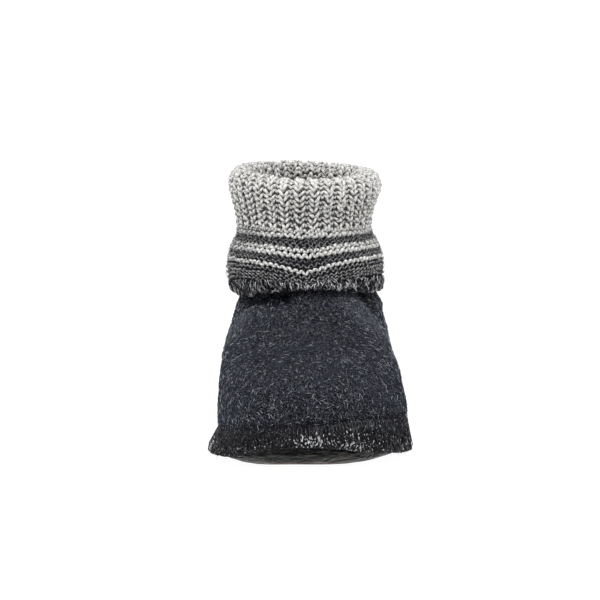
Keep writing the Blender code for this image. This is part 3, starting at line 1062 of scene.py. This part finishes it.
@dataclass(frozen=True)
class KnitCuff(SubAssembly):
    """The knitted cuff: courses of yarn over a closed backing that carries painted shade, ribbed above and
    purled below.
    """

    slot: str = "marled_knit"
    courses: tuple[Course, ...] = (  # the purled bands, from the rib down to the raw edge
        #      side  front reach bend shade marl full  wave
        Course(4.85, 4.36, 42.0, 8.0, 0.80, 0.65, 1.42, 0.90),
        Course(4.48, 3.77, 70.0, 8.0, 0.83, 0.50, 1.42, 0.90),
        Course(4.12, 3.32, 75.0, 8.0, 0.14, 0.16, 0.58, 0.90),
        Course(3.92, 2.98, 78.0, 8.0, 0.19, 0.20, 0.58, 0.90),
        Course(3.76, 2.68, 78.0, 8.0, 0.26, 0.24, 0.62, 0.90),
        Course(3.60, 2.46, 75.0, 8.0, 0.73, 0.60, 1.40, 0.90),
        Course(3.25, 2.12, 70.0, 8.0, 0.83, 0.48, 1.44, 0.90),
        Course(3.05, 1.80, 72.0, 7.0, 0.13, 0.16, 0.58, 0.90),
        Course(2.85, 1.50, 73.0, 4.0, 0.21, 0.24, 0.58, 0.90),
        Course(2.58, 1.13, 75.0, 2.0, 0.80, 0.56, 1.22, 0.90),
        Course(2.26, 0.86, 74.0, 1.5, 0.24, 0.31, 0.58, 0.90),
        Course(1.98, 0.62, 74.0, 1.5, 0.28, 0.35, 0.60, 0.90),
        Course(1.70, 0.44, 64.0, 4.0, 0.25, 0.33, 0.58, 0.85),
        Course(1.42, 0.26, 52.0, 8.0, 0.22, 0.32, 0.58, 0.80),
    )
    ribs: int = 36  # knit columns round the cuff
    rib_turn: float = 0.24  # how far they are turned from the front, in columns
    rib_courses: int = 19  # from the bands up and over the fold to the inside
    rib_first: float = 0.8  # how far the first lies above the bands: 1 is as far as the others lie apart
    rib_end: float = 15.6  # place of the last one, inside the shaft
    rib_dip: tuple[float, float] = (60.0, 10.0)  # their reach and bend
    fold_from: float = 6.0  # place at the front where they begin to change towards the fold
    fold_reach: float = 3.5  # over how many places they do
    purl_width: float = 3.9 * MM  # of a purled stitch
    yarn: float = 0.62 * MM  # half the yarn's thickness in the bands
    rib_yarn: float = 0.73 * MM  # half its thickness in the rib, where it is pulled less
    rib_sunk: float = 1.1 * MM  # how far the rib's yarn lies inside the cuff's wall
    purl_sunk: float = 1.2 * MM  # how far the bands' yarn does
    rib_samples: int = 22  # points of yarn in a stitch of the rib
    purl_samples: int = 10  # and of the bands
    # how unevenly the loops are spaced, how much they differ in height, place, depth and thickness
    uneven: tuple[float, ...] = (0.045, 0.16, 0.17, 0.14, 0.08)
    first_seed: int = 100
    rib_side_shade: tuple[float, float] = (0.20, 0.11)  # how much painted shade greys the rib, medial and lateral sides
    band_side_shade: tuple[float, float] = (0.36, 0.18)  # how much painted shade greys the pale bands
    side_shade_from: float = 0.33  # angle from the front where that painted shade begins
    side_shade_reach: float = 0.75  # angle over which they do
    ankle_y: float = 0.045  # where the middle of the ankle lies
    shade_backing_ends: tuple[float, float] = (0.20, 0.10)  # how far it stops short of the wall's edges, in places
    shade_backing_sunk: float = 2.6 * MM  # how far it lies inside the wall
    shade_backing_wall: float = 1.0 * MM
    # where its painted shade turns greyer: place, over how many places, how much
    shade_backing_greys: tuple[Triple, ...] = ((4.3, 0.5, 1.7), (8.0, 1.8, 2.6), (11.0, 1.0, -2.0))
    shade_backing_shade: tuple[float, float] = (0.01, 0.10)  # its Shade, painted shade for the gaps, where darkest, and what a grey adds
    shade_backing_marl: tuple[float, float] = (0.04, 0.12)  # its Marl, likewise

    def model(self) -> list[Object]:
        """Model the shaded backing, the ribs outside and inside, and the bands.

        Returns:
            The pieces.
        """
        rib = list(enumerate(self.rib_rows()))
        half = len(rib) // 2
        knitted = (
            ("cuff_rib_outside", Stitch.RIB, rib[:half]),
            ("cuff_rib_inside", Stitch.RIB, rib[half:]),
            ("cuff_bands", Stitch.PURL, list(enumerate(self.courses))),
        )
        pieces = [self.shade_backing()]
        for name, stitch, rows in knitted:
            pieces.append(join(name, [self.course(row, stitch, seed) for seed, row in rows]))
        for piece in pieces:
            smooth(piece, sharp_degrees=89.0)
        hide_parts("cuff")
        return pieces

    def rib_rows(self) -> list[Course]:
        """Courses of the rib, evenly spaced from the first band over the fold, and painted paler towards it.

        Returns:
            The courses, lowest first.
        """
        first = self.courses[0]
        ends = np.arange(self.rib_courses + 1)
        sides, fronts = (
            np.interp(ends[:-1] + self.rib_first, ends, CUFF_WALL.even_places(*line, self.rib_end, len(ends)))
            for line in ((0.5 * math.pi, first.side), (0.0, first.front))
        )
        rows = []
        for side, front, fold in zip(sides, fronts, unit((fronts - self.fold_from) / self.fold_reach)):
            # painted light: towards the fold the yarn gets more cream and fewer charcoal flecks
            shade, marl, wave = 0.98 + 0.02 * fold, 1.0 - 0.5 * fold, 1.0 + 0.2 * fold
            rows.append(Course(side, front, *self.rib_dip, shade, marl, wave=wave))
        return rows

    def course(self, course: Course, stitch: Stitch, seed: int) -> Object:
        """Model one course as a closed yarn.

        Args:
            course: Where it runs, and its shade.
            stitch: How its loops turn.
            seed: Number that sets its small irregularities.

        Returns:
            The yarn's mesh.
        """
        rng = np.random.default_rng(self.first_seed + seed)
        if stitch is Stitch.RIB:
            turns, samples, sunk, radius = RIB_TURNS, self.rib_samples, self.rib_sunk, self.rib_yarn
            count, start = self.ribs, self.rib_turn
        else:
            turns, samples, sunk, radius = PURL_TURNS, self.purl_samples, self.purl_sunk, self.yarn
            fine = np.linspace(0.0, TURN, 361)
            around = running_length(CUFF_WALL.points(course.place_at(fine), fine))[-1]
            count, start = int(round(around / self.purl_width)), rng.uniform()
        step = np.arange(count * samples) / samples  # in stitches
        number = np.floor(step)
        turn = (step - number) * len(turns)
        table = np.array(turns)
        # how far a turn lies from its even share, so that the track closes on itself
        slip = closed_track(table[:, 0] - np.arange(len(turns)) / len(turns), turn)
        height, out, swell = (closed_track(column, turn) for column in table.T[1:])
        # uneven tracks round the course, each through one random number for each half stitch
        spacing, taller, higher, deeper, fuller = (
            amount * closed_track(rng.normal(0.0, 1.0, 2 * count), 2.0 * step)
            for amount in self.uneven
        )
        share = (number + slip + turn / len(turns) + start + spacing) / count
        angle = CUFF_WALL.even_angles(course.place_at, share)
        place = course.place_at(angle)
        nudge = 0.05
        places_a_metre = 2.0 * nudge / np.linalg.norm(CUFF_WALL.across(place, angle, nudge), axis=-1)
        place = place + (height * course.wave * (1.0 + taller) + higher) * MM * places_a_metre
        depth = (out + deeper) * MM - sunk
        path = CUFF_WALL.points(place, angle) + CUFF_WALL.normals(place, angle) * depth[..., None]
        obj = thread(path, radius, course.full * swell * (1.0 + fuller))
        # painted shade greys the rib and pale bands towards the sides
        set_attribute(obj, "Shade", self.side_shaded(course, stitch, vertex_array(obj)))
        set_attribute(obj, "Marl", course.marl)
        return obj

    def side_shaded(self, course: Course, stitch: Stitch, points: Array) -> Array:
        """Share of cream, which painted shade lowers on rib and pale bands towards the sides, more so
        medially.

        Args:
            course: The course.
            stitch: Its stitch.
            points: Points on its yarn.

        Returns:
            The share at each point.
        """
        turned = np.arctan2(points[:, 0] - FOOT_AXIS_X, self.ankle_y - points[:, 1])
        medial, lateral = self.band_side_shade if course.shade > 0.5 else (0.0, 0.0)
        if stitch is Stitch.RIB:
            medial, lateral = self.rib_side_shade
        share = smoothstep((np.abs(turned) - self.side_shade_from) / self.side_shade_reach)
        return course.shade - np.where(turned < 0.0, medial, lateral) * share

    def shade_backing(self) -> Object:
        """Model a closed backing behind the loops, which stands in for the fabric there and carries painted
        shade for the gaps.

        Returns:
            Its mesh.
        """
        obj, share, angle = sleeve("cuff_shade_backing", around=144, rings=110)
        place = self.shade_backing_ends[0] + (CUFF_WALL.last - sum(self.shade_backing_ends)) * share
        inward = CUFF_WALL.normals(place, angle) * -self.shade_backing_sunk
        place_vertices(obj, CUFF_WALL.points(place, angle) + inward)
        # painted shade: darkest behind the bands, painted lighter grey behind the rib and towards the fold
        greyer = sum(more * unit((place - start) / reach) for start, reach, more in self.shade_backing_greys)
        for name, (least, more) in (("Shade", self.shade_backing_shade), ("Marl", self.shade_backing_marl)):
            set_attribute(obj, name, least + more * greyer)
        thicken(obj, self.shade_backing_wall)
        return obj


# ---- Sole ----


class TrayRow(NamedTuple):
    """A line round the leather tray or the insole."""

    inset: float  # inside the hem's edge
    rise: float  # above the bottom of the sole
    toe_lift: float = 0.0  # more height at the toe
    scale: float = 1.0  # shrinks the line towards the middle of the foot


@dataclass(frozen=True)
class SoleBottom:
    """The height of the sole's underside: flat under ball and heel, raised at the arch and the toe."""

    arch_lift: float = 2.0 * MM
    toe_spring: float = 3.5 * MM
    spring_start: float = -0.090
    spring_end: float = -0.119
    arch_front: float = -0.035
    arch_back: float = 0.045

    def height(self, x: Array, y: Array) -> Array:
        """Height above the floor.

        Args:
            x: Across the foot.
            y: Along the foot.

        Returns:
            The height at each point.
        """
        spring = np.clip((y - self.spring_start) / (self.spring_end - self.spring_start), 0.0, 2.0)
        share = unit((y - self.arch_front) / (self.arch_back - self.arch_front))
        medial = np.clip(0.6 - x / BALL_WIDTH, 0.0, None)
        return self.toe_spring * spring**2 + self.arch_lift * np.sin(math.pi * share) ** 2 * medial

    def points(self, rows: tuple[TrayRow, ...], place: Array, angle: Array) -> Array:
        """Points of a surface that follows the hem's outline above the underside.

        Args:
            rows: Lines round it.
            place: Places on it, by the rows' numbers.
            angle: Angles round it.

        Returns:
            The points, with x, y and z along the last axis.
        """
        row = TrayRow(*(np.interp(place, np.arange(len(rows)), column) for column in np.transpose(rows)))
        x, y = UPPER_SECTIONS[0].set_in(row.inset).plan(angle)
        x, y = FOOT_AXIS_X + x * row.scale, y * row.scale
        lift = row.toe_lift * unit(1.0 - backward(angle) / UPPER_SECTIONS[0].reach) ** 2
        return np.stack([x, y, self.height(x, y) + row.rise + lift], axis=-1)


@dataclass(frozen=True)
class LeatherSole(SubAssembly):
    """The leather tray: its wall stands inside the hem and its belly shows below it."""

    slot: str = "sole_leather"
    bottom: SoleBottom = SoleBottom()
    rows: tuple[TrayRow, ...] = (  # wall and bottom, from the hidden top edge to the middle of the foot
        TrayRow(0.0090, 0.0130, 0.0040),
        TrayRow(0.0073, 0.0094, 0.0040),
        TrayRow(0.0056, 0.0062, 0.0040),
        TrayRow(0.0062, 0.0040, 0.0034),
        TrayRow(0.0090, 0.0018, 0.0022),
        TrayRow(0.0140, 0.0004, 0.0008),
        TrayRow(0.0190, 0.0000),
        TrayRow(0.0190, 0.0000, scale=0.6),
        TrayRow(0.0190, 0.0000, scale=0.01),
    )
    leather: float = 1.6 * MM  # its thickness
    belly: tuple[float, float] = (2.9, 1.3)  # row where it gathers and folds most, and how far they reach
    gather: float = 0.5 * MM  # depth of the small gathers round the wall
    fold: float = 1.3 * MM  # depth of its longer folds
    gathers: tuple[float, float] = (46.0, 83.0)  # how many round the foot: the deeper and the finer ones
    folds: Triple = (9.0, 9.0, 2.2)  # how closely they follow each other along, across and up
    corner_out: float = 3.2 * MM  # how far it bulges at the medial corner of the toe
    corner: tuple[float, float] = (-0.68, 0.20)  # angle of that corner, and how far the bulge reaches
    split: tuple[float, float] = (4.9, 0.5)  # row where its rough side begins to show, and over how far

    def shape(self, place: Array, angle: Array) -> Array:
        """Points of the leather's outer face.

        Args:
            place: Places on it, by the rows' numbers.
            angle: Angles round it.

        Returns:
            The points, with x, y and z along the last axis.
        """
        points = self.bottom.points(self.rows, place, angle)
        deep, fine = self.gathers
        gathers = np.sin(deep * angle + 2.0 * np.sin(5.0 * angle)) + 0.6 * np.sin(fine * angle + place)
        gathers = gathers * (0.2 + 0.5 * np.cos(angle) ** 2)  # deeper at the toe and heel
        around = np.stack([np.cos(angle), np.sin(angle), place], axis=-1) * self.folds
        folds = np.array([abs(noise.noise(Vector(p))) for p in around])
        out = self.gather * gathers + self.fold * (0.5 - 2.0 * folds)
        out = (out + self.corner_out * hump(from_toe(angle), *self.corner)) * hump(place, *self.belly)
        outward = unit_vectors((points - (FOOT_AXIS_X, 0.0, 0.0)) * (1.0, 1.0, 0.0))
        return points + outward * out[..., None]

    def model(self) -> list[Object]:
        """Model the sole.

        Returns:
            The piece.
        """
        obj, share, angle = sleeve("leather_sole", around=288, rings=46)
        place = (len(self.rows) - 1.0) * (1.0 - share)
        place_vertices(obj, self.shape(place, angle))
        begins, reach = self.split
        set_attribute(obj, "Split", smoothstep((place - begins) / reach))
        close_centre(obj)
        thicken(obj, self.leather)
        smooth(obj, sharp_degrees=70.0)
        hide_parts("outsole")
        return [obj]


@dataclass(frozen=True)
class Insole(SubAssembly):
    """The felt pad in the leather tray."""

    slot: str = "insole_felt"
    bottom: SoleBottom = SoleBottom()
    rows: tuple[TrayRow, ...] = (  # from the middle of its underside, over its edge, to the middle of its top
        TrayRow(0.0145, 0.0026, scale=0.01),
        TrayRow(0.0145, 0.0026),
        TrayRow(0.0128, 0.0040),
        TrayRow(0.0128, 0.0074),
        TrayRow(0.0145, 0.0086),
        TrayRow(0.0145, 0.0082, scale=0.7),
        TrayRow(0.0145, 0.0080, scale=0.01),
    )

    def model(self) -> list[Object]:
        """Model the insole.

        Returns:
            The piece.
        """
        obj, share, angle = sleeve("felt_insole", around=128, rings=30)
        place_vertices(obj, self.bottom.points(self.rows, (len(self.rows) - 1.0) * share, angle))
        close_centre(obj)
        smooth(obj, sharp_degrees=50.0)
        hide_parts("insole")
        return [obj]


# ---- Threads and fibres ----


def fibre_mesh(name: str, paths: Array, radii: Array, shades: Array) -> Object:
    """Model loose fibres as one mesh of closed three-sided hairs.

    Args:
        name: Name of the object.
        paths: Points of each fibre: fibres, points, then x, y and z.
        radii: Half thickness of each fibre at its root. It narrows to its tip.
        shades: Shade of each fibre.

    Returns:
        The mesh object.
    """
    fibres, count, _ = paths.shape
    run = unit_vectors(np.gradient(paths, axis=1))
    nearly_upright = np.abs(run[..., 2:]) > 0.8
    side = unit_vectors(np.cross(run, np.where(nearly_upright, (1.0, 0.0, 0.0), (0.0, 0.0, 1.0))))
    taper = np.linspace(1.0, FIBRE_TIP, count)[:, None, None]
    corner = (np.arange(3) * TURN / 3.0)[:, None]
    ring = np.cos(corner) * side[:, :, None] + np.sin(corner) * np.cross(run, side)[:, :, None]
    points = paths[:, :, None] + ring * radii[:, None, None, None] * taper
    quads = [
        (3 * k + j, 3 * k + (j + 1) % 3, 3 * k + 3 + (j + 1) % 3, 3 * k + 3 + j)
        for k in range(count - 1)
        for j in range(3)
    ]
    tip = 3 * (count - 1)
    start = (np.arange(fibres) * 3 * count)[:, None, None]
    sides = (np.array(quads) + start).reshape(-1, 4)
    caps = (np.array([(2, 1, 0), (tip, tip + 1, tip + 2)]) + start).reshape(-1, 3)
    mesh = bpy.data.meshes.new(name)
    mesh.from_pydata(points.reshape(-1, 3).tolist(), [], sides.tolist() + caps.tolist())
    mesh.validate()
    obj = bpy.data.objects.new(name, mesh)
    bpy.context.scene.collection.objects.link(obj)
    set_attribute(obj, "Shade", np.repeat(shades, 3 * count))
    mesh.shade_smooth()
    return obj


@dataclass(frozen=True)
class LooseFibres(SubAssembly):
    """Loose fibres that lie on a wall in all directions and lift off it a little."""

    name: str
    slot: str
    surface: Callable[[Array, Array], Array]  # points that they grow from, by place and angle
    wall: Wall  # the wall which that surface follows
    places: tuple[float, float]  # first and last place on it
    count: int
    length: tuple[float, float]  # shortest and longest
    lift: float  # how far their tips stand off, at most
    thickness: float  # half of it
    shades: tuple[float, float]  # darkest and lightest
    seed: int
    upright: float = 1.7  # how much more they lie across the wall than round it
    curl: float = 0.35  # how far they curl, as a share of their length
    rooted: float = 0.1 * MM  # how deep they start
    least_lift: float = 0.1  # the least that is drawn for how far they stand off, before it is squared
    vary: tuple[float, float] = (0.7, 1.3)  # the thinnest and the thickest, as shares of their thickness
    dark_power: float = 1.6  # how much commoner the dark ones are: 1 is not at all

    def model(self) -> list[Object]:
        """Model the fibres.

        Returns:
            The piece.
        """
        rng = np.random.default_rng(self.seed)
        place = rng.uniform(*self.places, self.count)
        share = rng.uniform(0.0, 1.0, self.count)
        angle = self.wall.even_angles(lambda a: np.full_like(a, 0.5 * sum(self.places)), share)
        outward = self.wall.normals(place, angle)
        around = unit_vectors(self.wall.along(place, angle))
        heading = rng.uniform(0.0, TURN, self.count)[:, None]
        way = np.cos(heading) * around + self.upright * np.sin(heading) * np.cross(around, outward)
        way = unit_vectors(way)
        length = rng.uniform(*self.length, self.count)[:, None]
        curl = rng.normal(0.0, self.curl, self.count)[:, None] * length * np.cross(outward, way)
        lift = self.lift * rng.uniform(self.least_lift, 1.0, self.count)[:, None] ** 2
        root = self.surface(place, angle) - outward * self.rooted
        paths = [
            root + way * length * s + curl * s * s + outward * lift * math.sin(0.5 * math.pi * s)
            for s in (0.0, 0.5, 1.0)
        ]
        radii = self.thickness * rng.uniform(*self.vary, self.count)
        darkest, lightest = self.shades
        shades = darkest + (lightest - darkest) * rng.uniform(0.0, 1.0, self.count) ** self.dark_power
        return [fibre_mesh(self.name, np.stack(paths, axis=1), radii, shades)]


@dataclass(frozen=True)
class RawEdge(SubAssembly):
    """The cuff's raw lower edge: cut ends of yarn that slant, curl and stand apart."""

    slot: str = "marled_knit"
    seed: int = 21
    ends: int = 5600
    stray: float = 0.6  # how far one strays from its even place along the edge, in ends
    top: Course = Course(1.06, 0.40, 60.0, 6.0)  # where they start
    # angles from the front, and the places down to which they hang there, medial to lateral
    corners: tuple[float, ...] = (-1.2, -0.7, -0.3, 0.3, 0.7, 1.2)
    lows: tuple[float, ...] = (0.60, -0.22, 0.06, 0.06, -0.22, 0.30)
    length: tuple[float, float] = (0.16, 0.50)  # shortest and longest, in places
    spread: tuple[float, float] = (0.05, 2.0)  # least and most that their middles are spread over, likewise
    slant: float = 1.6 * MM  # how far one end lies to the side of the other
    bow: float = 0.9 * MM  # how far they bow sideways
    out: tuple[float, float] = (-1.7 * MM, -0.5 * MM)  # how far out they start, from the cuff's wall
    lift: tuple[float, float] = (0.1 * MM, 0.9 * MM)  # how far they bow outwards
    thickness: float = 0.20 * MM  # half of it
    vary: tuple[float, float] = (0.6, 1.35)  # the thinnest and the thickest, as shares of that
    shades: tuple[float, ...] = (0.0, 0.04, 0.15, 0.40, 1.00)
    shares: tuple[float, ...] = (0.56, 0.14, 0.09, 0.09, 0.12)  # of the ends that have each shade
    medial_painted_shade: float = 0.75  # painted shade that darkens the medial side's ends
    medial_from: float = -0.3  # sine of the angle where that side begins

    def model(self) -> list[Object]:
        """Model the raw edge.

        Returns:
            The piece.
        """
        rng = np.random.default_rng(self.seed)
        share = (np.arange(self.ends) + rng.uniform(-self.stray, self.stray, self.ends)) / self.ends
        angle = CUFF_WALL.even_angles(self.top.place_at, share)
        top = self.top.place_at(angle)
        nudge = 0.01
        angle_a_metre = 2.0 * nudge / np.linalg.norm(CUFF_WALL.along(top, angle, nudge), axis=-1)
        low = np.interp(from_toe(angle), self.corners, self.lows)
        length = rng.uniform(*self.length, self.ends)
        middle = low + 0.5 * length
        middle = middle + np.clip(top - middle, *self.spread) * rng.uniform(0.0, 1.0, self.ends)
        slant = rng.normal(0.0, self.slant, self.ends)
        bow = rng.normal(0.0, self.bow, self.ends)
        out = rng.uniform(*self.out, self.ends)
        lift = rng.uniform(*self.lift, self.ends)
        rows = []
        for s in np.linspace(0.0, 1.0, 4):
            place = middle + length * (0.5 - s)
            leaning = angle + angle_a_metre * (slant * (s - 0.5) + bow * math.sin(math.pi * s))
            rise = (out + lift * math.sin(math.pi * s))[:, None]
            rows.append(CUFF_WALL.points(place, leaning) + CUFF_WALL.normals(place, leaning) * rise)
        shades = rng.choice(self.shades, self.ends, p=self.shares)
        # painted shade on the medial side
        shades[np.sin(angle) < self.medial_from] *= self.medial_painted_shade
        radii = self.thickness * rng.uniform(*self.vary, self.ends)
        return [fibre_mesh("cuff_raw_edge", np.stack(rows, axis=1), radii, shades)]


class SeamThread(NamedTuple):
    """One thread of the overlocking, which repeats a stitch all round the hem."""

    turns: tuple[Triple, ...]  # share of a stitch, place on the upper's wall, millimetres out
    stitches: int  # round the hem
    radius: float
    loose: float  # how uneven it is
    attribute: str  # what its stretches set, for its finish
    stretches: tuple[Triple, ...]  # angle round the hem, how far it reaches, how much


# Where painted glints gather on the looped threads, mostly at the toe's front and corners
GLINT_PATCHES = (
    (0.16, 0.16, 1.0),
    (0.46, 0.20, 0.7),
    (-0.34, 0.16, 0.15),
    (-1.02, 0.12, 0.9),
    (1.02, 0.20, 0.2),
    (2.90, 0.30, 0.5),
)

NEEDLE_THREAD = SeamThread(
    (
        (0.00, 1.02, -0.60),
        (0.04, 0.95, 0.08),
        (0.09, 0.82, 0.14),
        (0.14, 0.68, 0.08),
        (0.30, 0.60, -0.60),
        (0.70, 0.62, -0.70),
        (0.94, 0.80, -0.70),
    ),
    stitches=286, radius=0.20 * MM, loose=0.35, attribute="PaintedSheen",
    # painted sheen greys it round the toe's front
    stretches=((0.12, 0.20, 0.07), (0.45, 0.30, 0.10)),
)
OVER_EDGE = SeamThread(
    (
        (0.00, 0.46, -0.10),
        (0.16, 0.30, 0.20),
        (0.34, 0.08, 0.15),
        (0.52, -0.08, -0.40),
        (0.70, -0.06, -1.50),
        (0.86, 0.02, -0.10),
        (0.96, 0.26, 0.25),
    ),
    stitches=300, radius=0.21 * MM, loose=1.3, attribute="PaintedGlint", stretches=GLINT_PATCHES,
)
ALONG_EDGE = SeamThread(
    (
        (0.00, 0.50, 0.10),
        (0.30, 0.28, 0.35),
        (0.62, 0.04, 0.20),
        (0.80, 0.18, 0.05),
        (0.66, 0.42, 0.20),
        (0.84, 0.58, 0.10),
    ),
    stitches=300, radius=0.21 * MM, loose=1.8, attribute="PaintedGlint", stretches=GLINT_PATCHES,
)


@dataclass(frozen=True)
class OverlockSeam(SubAssembly):
    """Overlocking round the hem: a needle thread that binds the felt, and loose loops over its cut edge."""

    felt: FeltUpper  # the upper that it binds
    slot: str = "sole_leather"
    threads: tuple[SeamThread, ...] = (NEEDLE_THREAD, OVER_EDGE, ALONG_EDGE)
    seed: int = 5
    edge: float = 0.3  # place of the hem's middle, along which stitches are spaced
    follow: float = 0.5  # over how many places above that its threads come to follow the seam
    strays: Triple = (0.16, 0.07, 0.12)  # how far turns stray along, across and outwards, if loose is 1
    lowest: float = -0.10  # place below which no loop hangs

    def model(self) -> list[Object]:
        """Model the seam.

        Returns:
            The piece.
        """
        rng = np.random.default_rng(self.seed)
        piece = join("overlock_thread", [self.run(one, rng) for one in self.threads])
        smooth(piece, sharp_degrees=89.0)
        return [piece]

    def run(self, one: SeamThread, rng: np.random.Generator) -> Object:
        """Model one thread.

        Args:
            one: The thread.
            rng: Source of its unevenness.

        Returns:
            Its mesh.
        """
        number = np.repeat(np.arange(one.stitches), len(one.turns))
        share, place, out = np.tile(one.turns, (one.stitches, 1)).T
        strayed = rng.normal(0.0, 1.0, (len(number), 3)) * one.loose * self.strays
        share = (number + share + strayed[:, 0]) / one.stitches
        place = np.maximum(place + strayed[:, 1], self.lowest)
        out = (out + strayed[:, 2]) * MM
        angle = UPPER_WALL.even_angles(lambda a: np.full_like(a, self.edge), share)
        risen = self.felt.seam_at(angle) - self.felt.seam_place
        place = place + risen * unit((place - self.edge) / self.follow)  # the cut edge stays where it is
        path = self.felt.shape(place, angle) + UPPER_WALL.normals(place, angle) * out[:, None]
        obj = thread(path, one.radius)
        points = vertex_array(obj)[:, :2]
        value = np.zeros(len(points))
        for centre, reach, amount in one.stretches:
            middle, end = UPPER_WALL.points(self.edge, np.array((centre, centre + reach)))[:, :2]
            far = np.linalg.norm(points - middle, axis=-1) / np.linalg.norm(end - middle)
            value = np.maximum(value, amount * hump(far, 0.0, 1.0))
        set_attribute(obj, one.attribute, value)
        # the needle thread gets no painted glints, and the looped threads no painted sheen
        other = ("PaintedGlint", -1.0) if one.attribute == "PaintedSheen" else ("PaintedSheen", 0.0)
        set_attribute(obj, *other)
        return obj


# ---- Studio ----


class Lamp(NamedTuple):
    """A far, broad light that faces the slipper."""

    name: str
    place: Triple  # only its direction matters
    spread: float  # how wide it looks from the slipper, in degrees
    strength: float  # watts a square metre


@dataclass(frozen=True)
class Studio:
    """A pale floor, soft light and the camera, which looks at the toe from a little above."""

    lens: float = 281.3  # focal length in millimetres
    sensor: float = 36.0  # width of the frame, likewise
    distance: float = 2.5  # from the camera to the point that it looks at
    elevation: float = 6.0  # of the camera above the horizon, in degrees
    target: Triple = (0.0, 0.0, 0.070)
    shift: tuple[float, float] = (-0.0175, 0.0152)  # of the frame, as shares of its width
    far: float = 50.0  # how far the camera sees
    floor_size: float = 24.0
    floor_drop: float = 0.02 * MM  # how far the floor lies below the sole
    surroundings: float = 0.55  # brightness all round
    glow: float = 0.97  # brightness of the floor
    lamps: tuple[Lamp, ...] = (
        Lamp("key_light", (-0.35, -0.85, 2.0), 60.0, 2.15),
        Lamp("left_light", (-1.6, 0.7, 0.8), 50.0, 0.14),
        Lamp("right_light", (1.6, 0.7, 0.9), 50.0, 0.5),
    )

    def build(self) -> None:
        """Make the floor, the lights and the camera."""
        self.lay_floor()
        world = bpy.data.worlds.new("Studio")
        world.use_nodes = True
        background = world.node_tree.nodes["Background"]
        background.inputs["Color"].default_value = srgb("#ffffff")
        background.inputs["Strength"].default_value = self.surroundings
        scene = bpy.context.scene
        scene.world = world
        for lamp in self.lamps:
            self.hang(lamp)
        self.set_camera()
        scene.view_settings.view_transform = "Standard"
        scene.view_settings.look = "None"

    def lay_floor(self) -> None:
        """Lay a broad white floor, lit from below so that shadows on it are faint."""
        deselect_all()
        bpy.ops.mesh.primitive_plane_add(size=self.floor_size, location=(0.0, 0.0, -self.floor_drop))
        floor = bpy.context.object
        floor.name = "studio_floor"
        bpy.ops.object.transform_apply(location=True, rotation=False, scale=False)
        table = Finish("White light table").shade({
            "Base Color": "#5c5c5c", "Roughness": 0.9, "Emission Color": "#ffffff",
            "Emission Strength": self.glow,
        })
        floor.data.materials.append(table)

    def hang(self, lamp: Lamp) -> None:
        """Add a lamp, turned to the slipper.

        Args:
            lamp: The lamp.
        """
        data = bpy.data.lights.new(lamp.name, "SUN")
        data.angle = math.radians(lamp.spread)
        data.energy = lamp.strength
        obj = bpy.data.objects.new(lamp.name, data)
        bpy.context.scene.collection.objects.link(obj)
        obj.location = lamp.place
        obj.rotation_euler = (-Vector(lamp.place)).to_track_quat("-Z", "Y").to_euler()

    def set_camera(self) -> None:
        """Add the camera."""
        data = bpy.data.cameras.new("camera")
        data.lens = self.lens
        data.sensor_width = self.sensor
        data.shift_x, data.shift_y = self.shift
        data.clip_end = self.far
        camera = bpy.data.objects.new("camera", data)
        bpy.context.scene.collection.objects.link(camera)
        tilt = math.radians(self.elevation)
        back = Vector((0.0, -math.cos(tilt), math.sin(tilt)))
        camera.location = Vector(self.target) + back * self.distance
        camera.rotation_euler = (math.radians(90.0) - tilt, 0.0, 0.0)
        bpy.context.scene.camera = camera


def main() -> None:
    """Build the slipper and its studio."""
    logging.basicConfig(level=logging.INFO, format="%(name)s: %(message)s")
    Studio().build()
    felt = FeltUpper()
    felt.build(BoiledWool().build())
    LeatherSole().build(SoleLeather().build())
    Insole().build(InsoleFelt().build())
    KnitCuff().build(MarledYarn().build())
    ends = LooseFibre("Cut yarn ends", "#101117", "#f0f0f2").build()
    RawEdge().build(ends)
    OverlockSeam(felt).build(OverlockThread().build())
    hairs = LooseFibre("Loose felt fibres", "#0c0d11", "#c6cad4").build()
    LooseFibres(
        "felt_fibres", "boiled_wool", felt.shape, UPPER_WALL, (0.95, 10.2), 14000, (0.9 * MM, 2.8 * MM),
        lift=0.50 * MM, thickness=0.12 * MM, shades=(0.0, 1.0), seed=3,
    ).build(hairs)
    LooseFibres(
        "hem_fibres", "boiled_wool", felt.shape, UPPER_WALL, (0.10, 1.2), 2900, (1.2 * MM, 3.2 * MM),
        lift=0.4 * MM, thickness=0.10 * MM, shades=(0.0, 0.4), seed=6,
    ).build(hairs)
    LooseFibres(
        "cuff_fibres", "marled_knit", CUFF_WALL.points, CUFF_WALL, (0.3, 15.0), 3600, (1.5 * MM, 4.0 * MM),
        lift=0.8 * MM, thickness=0.05 * MM, shades=(0.2, 1.0), seed=4,
    ).build(ends)


if __name__ == "__main__":
    main()
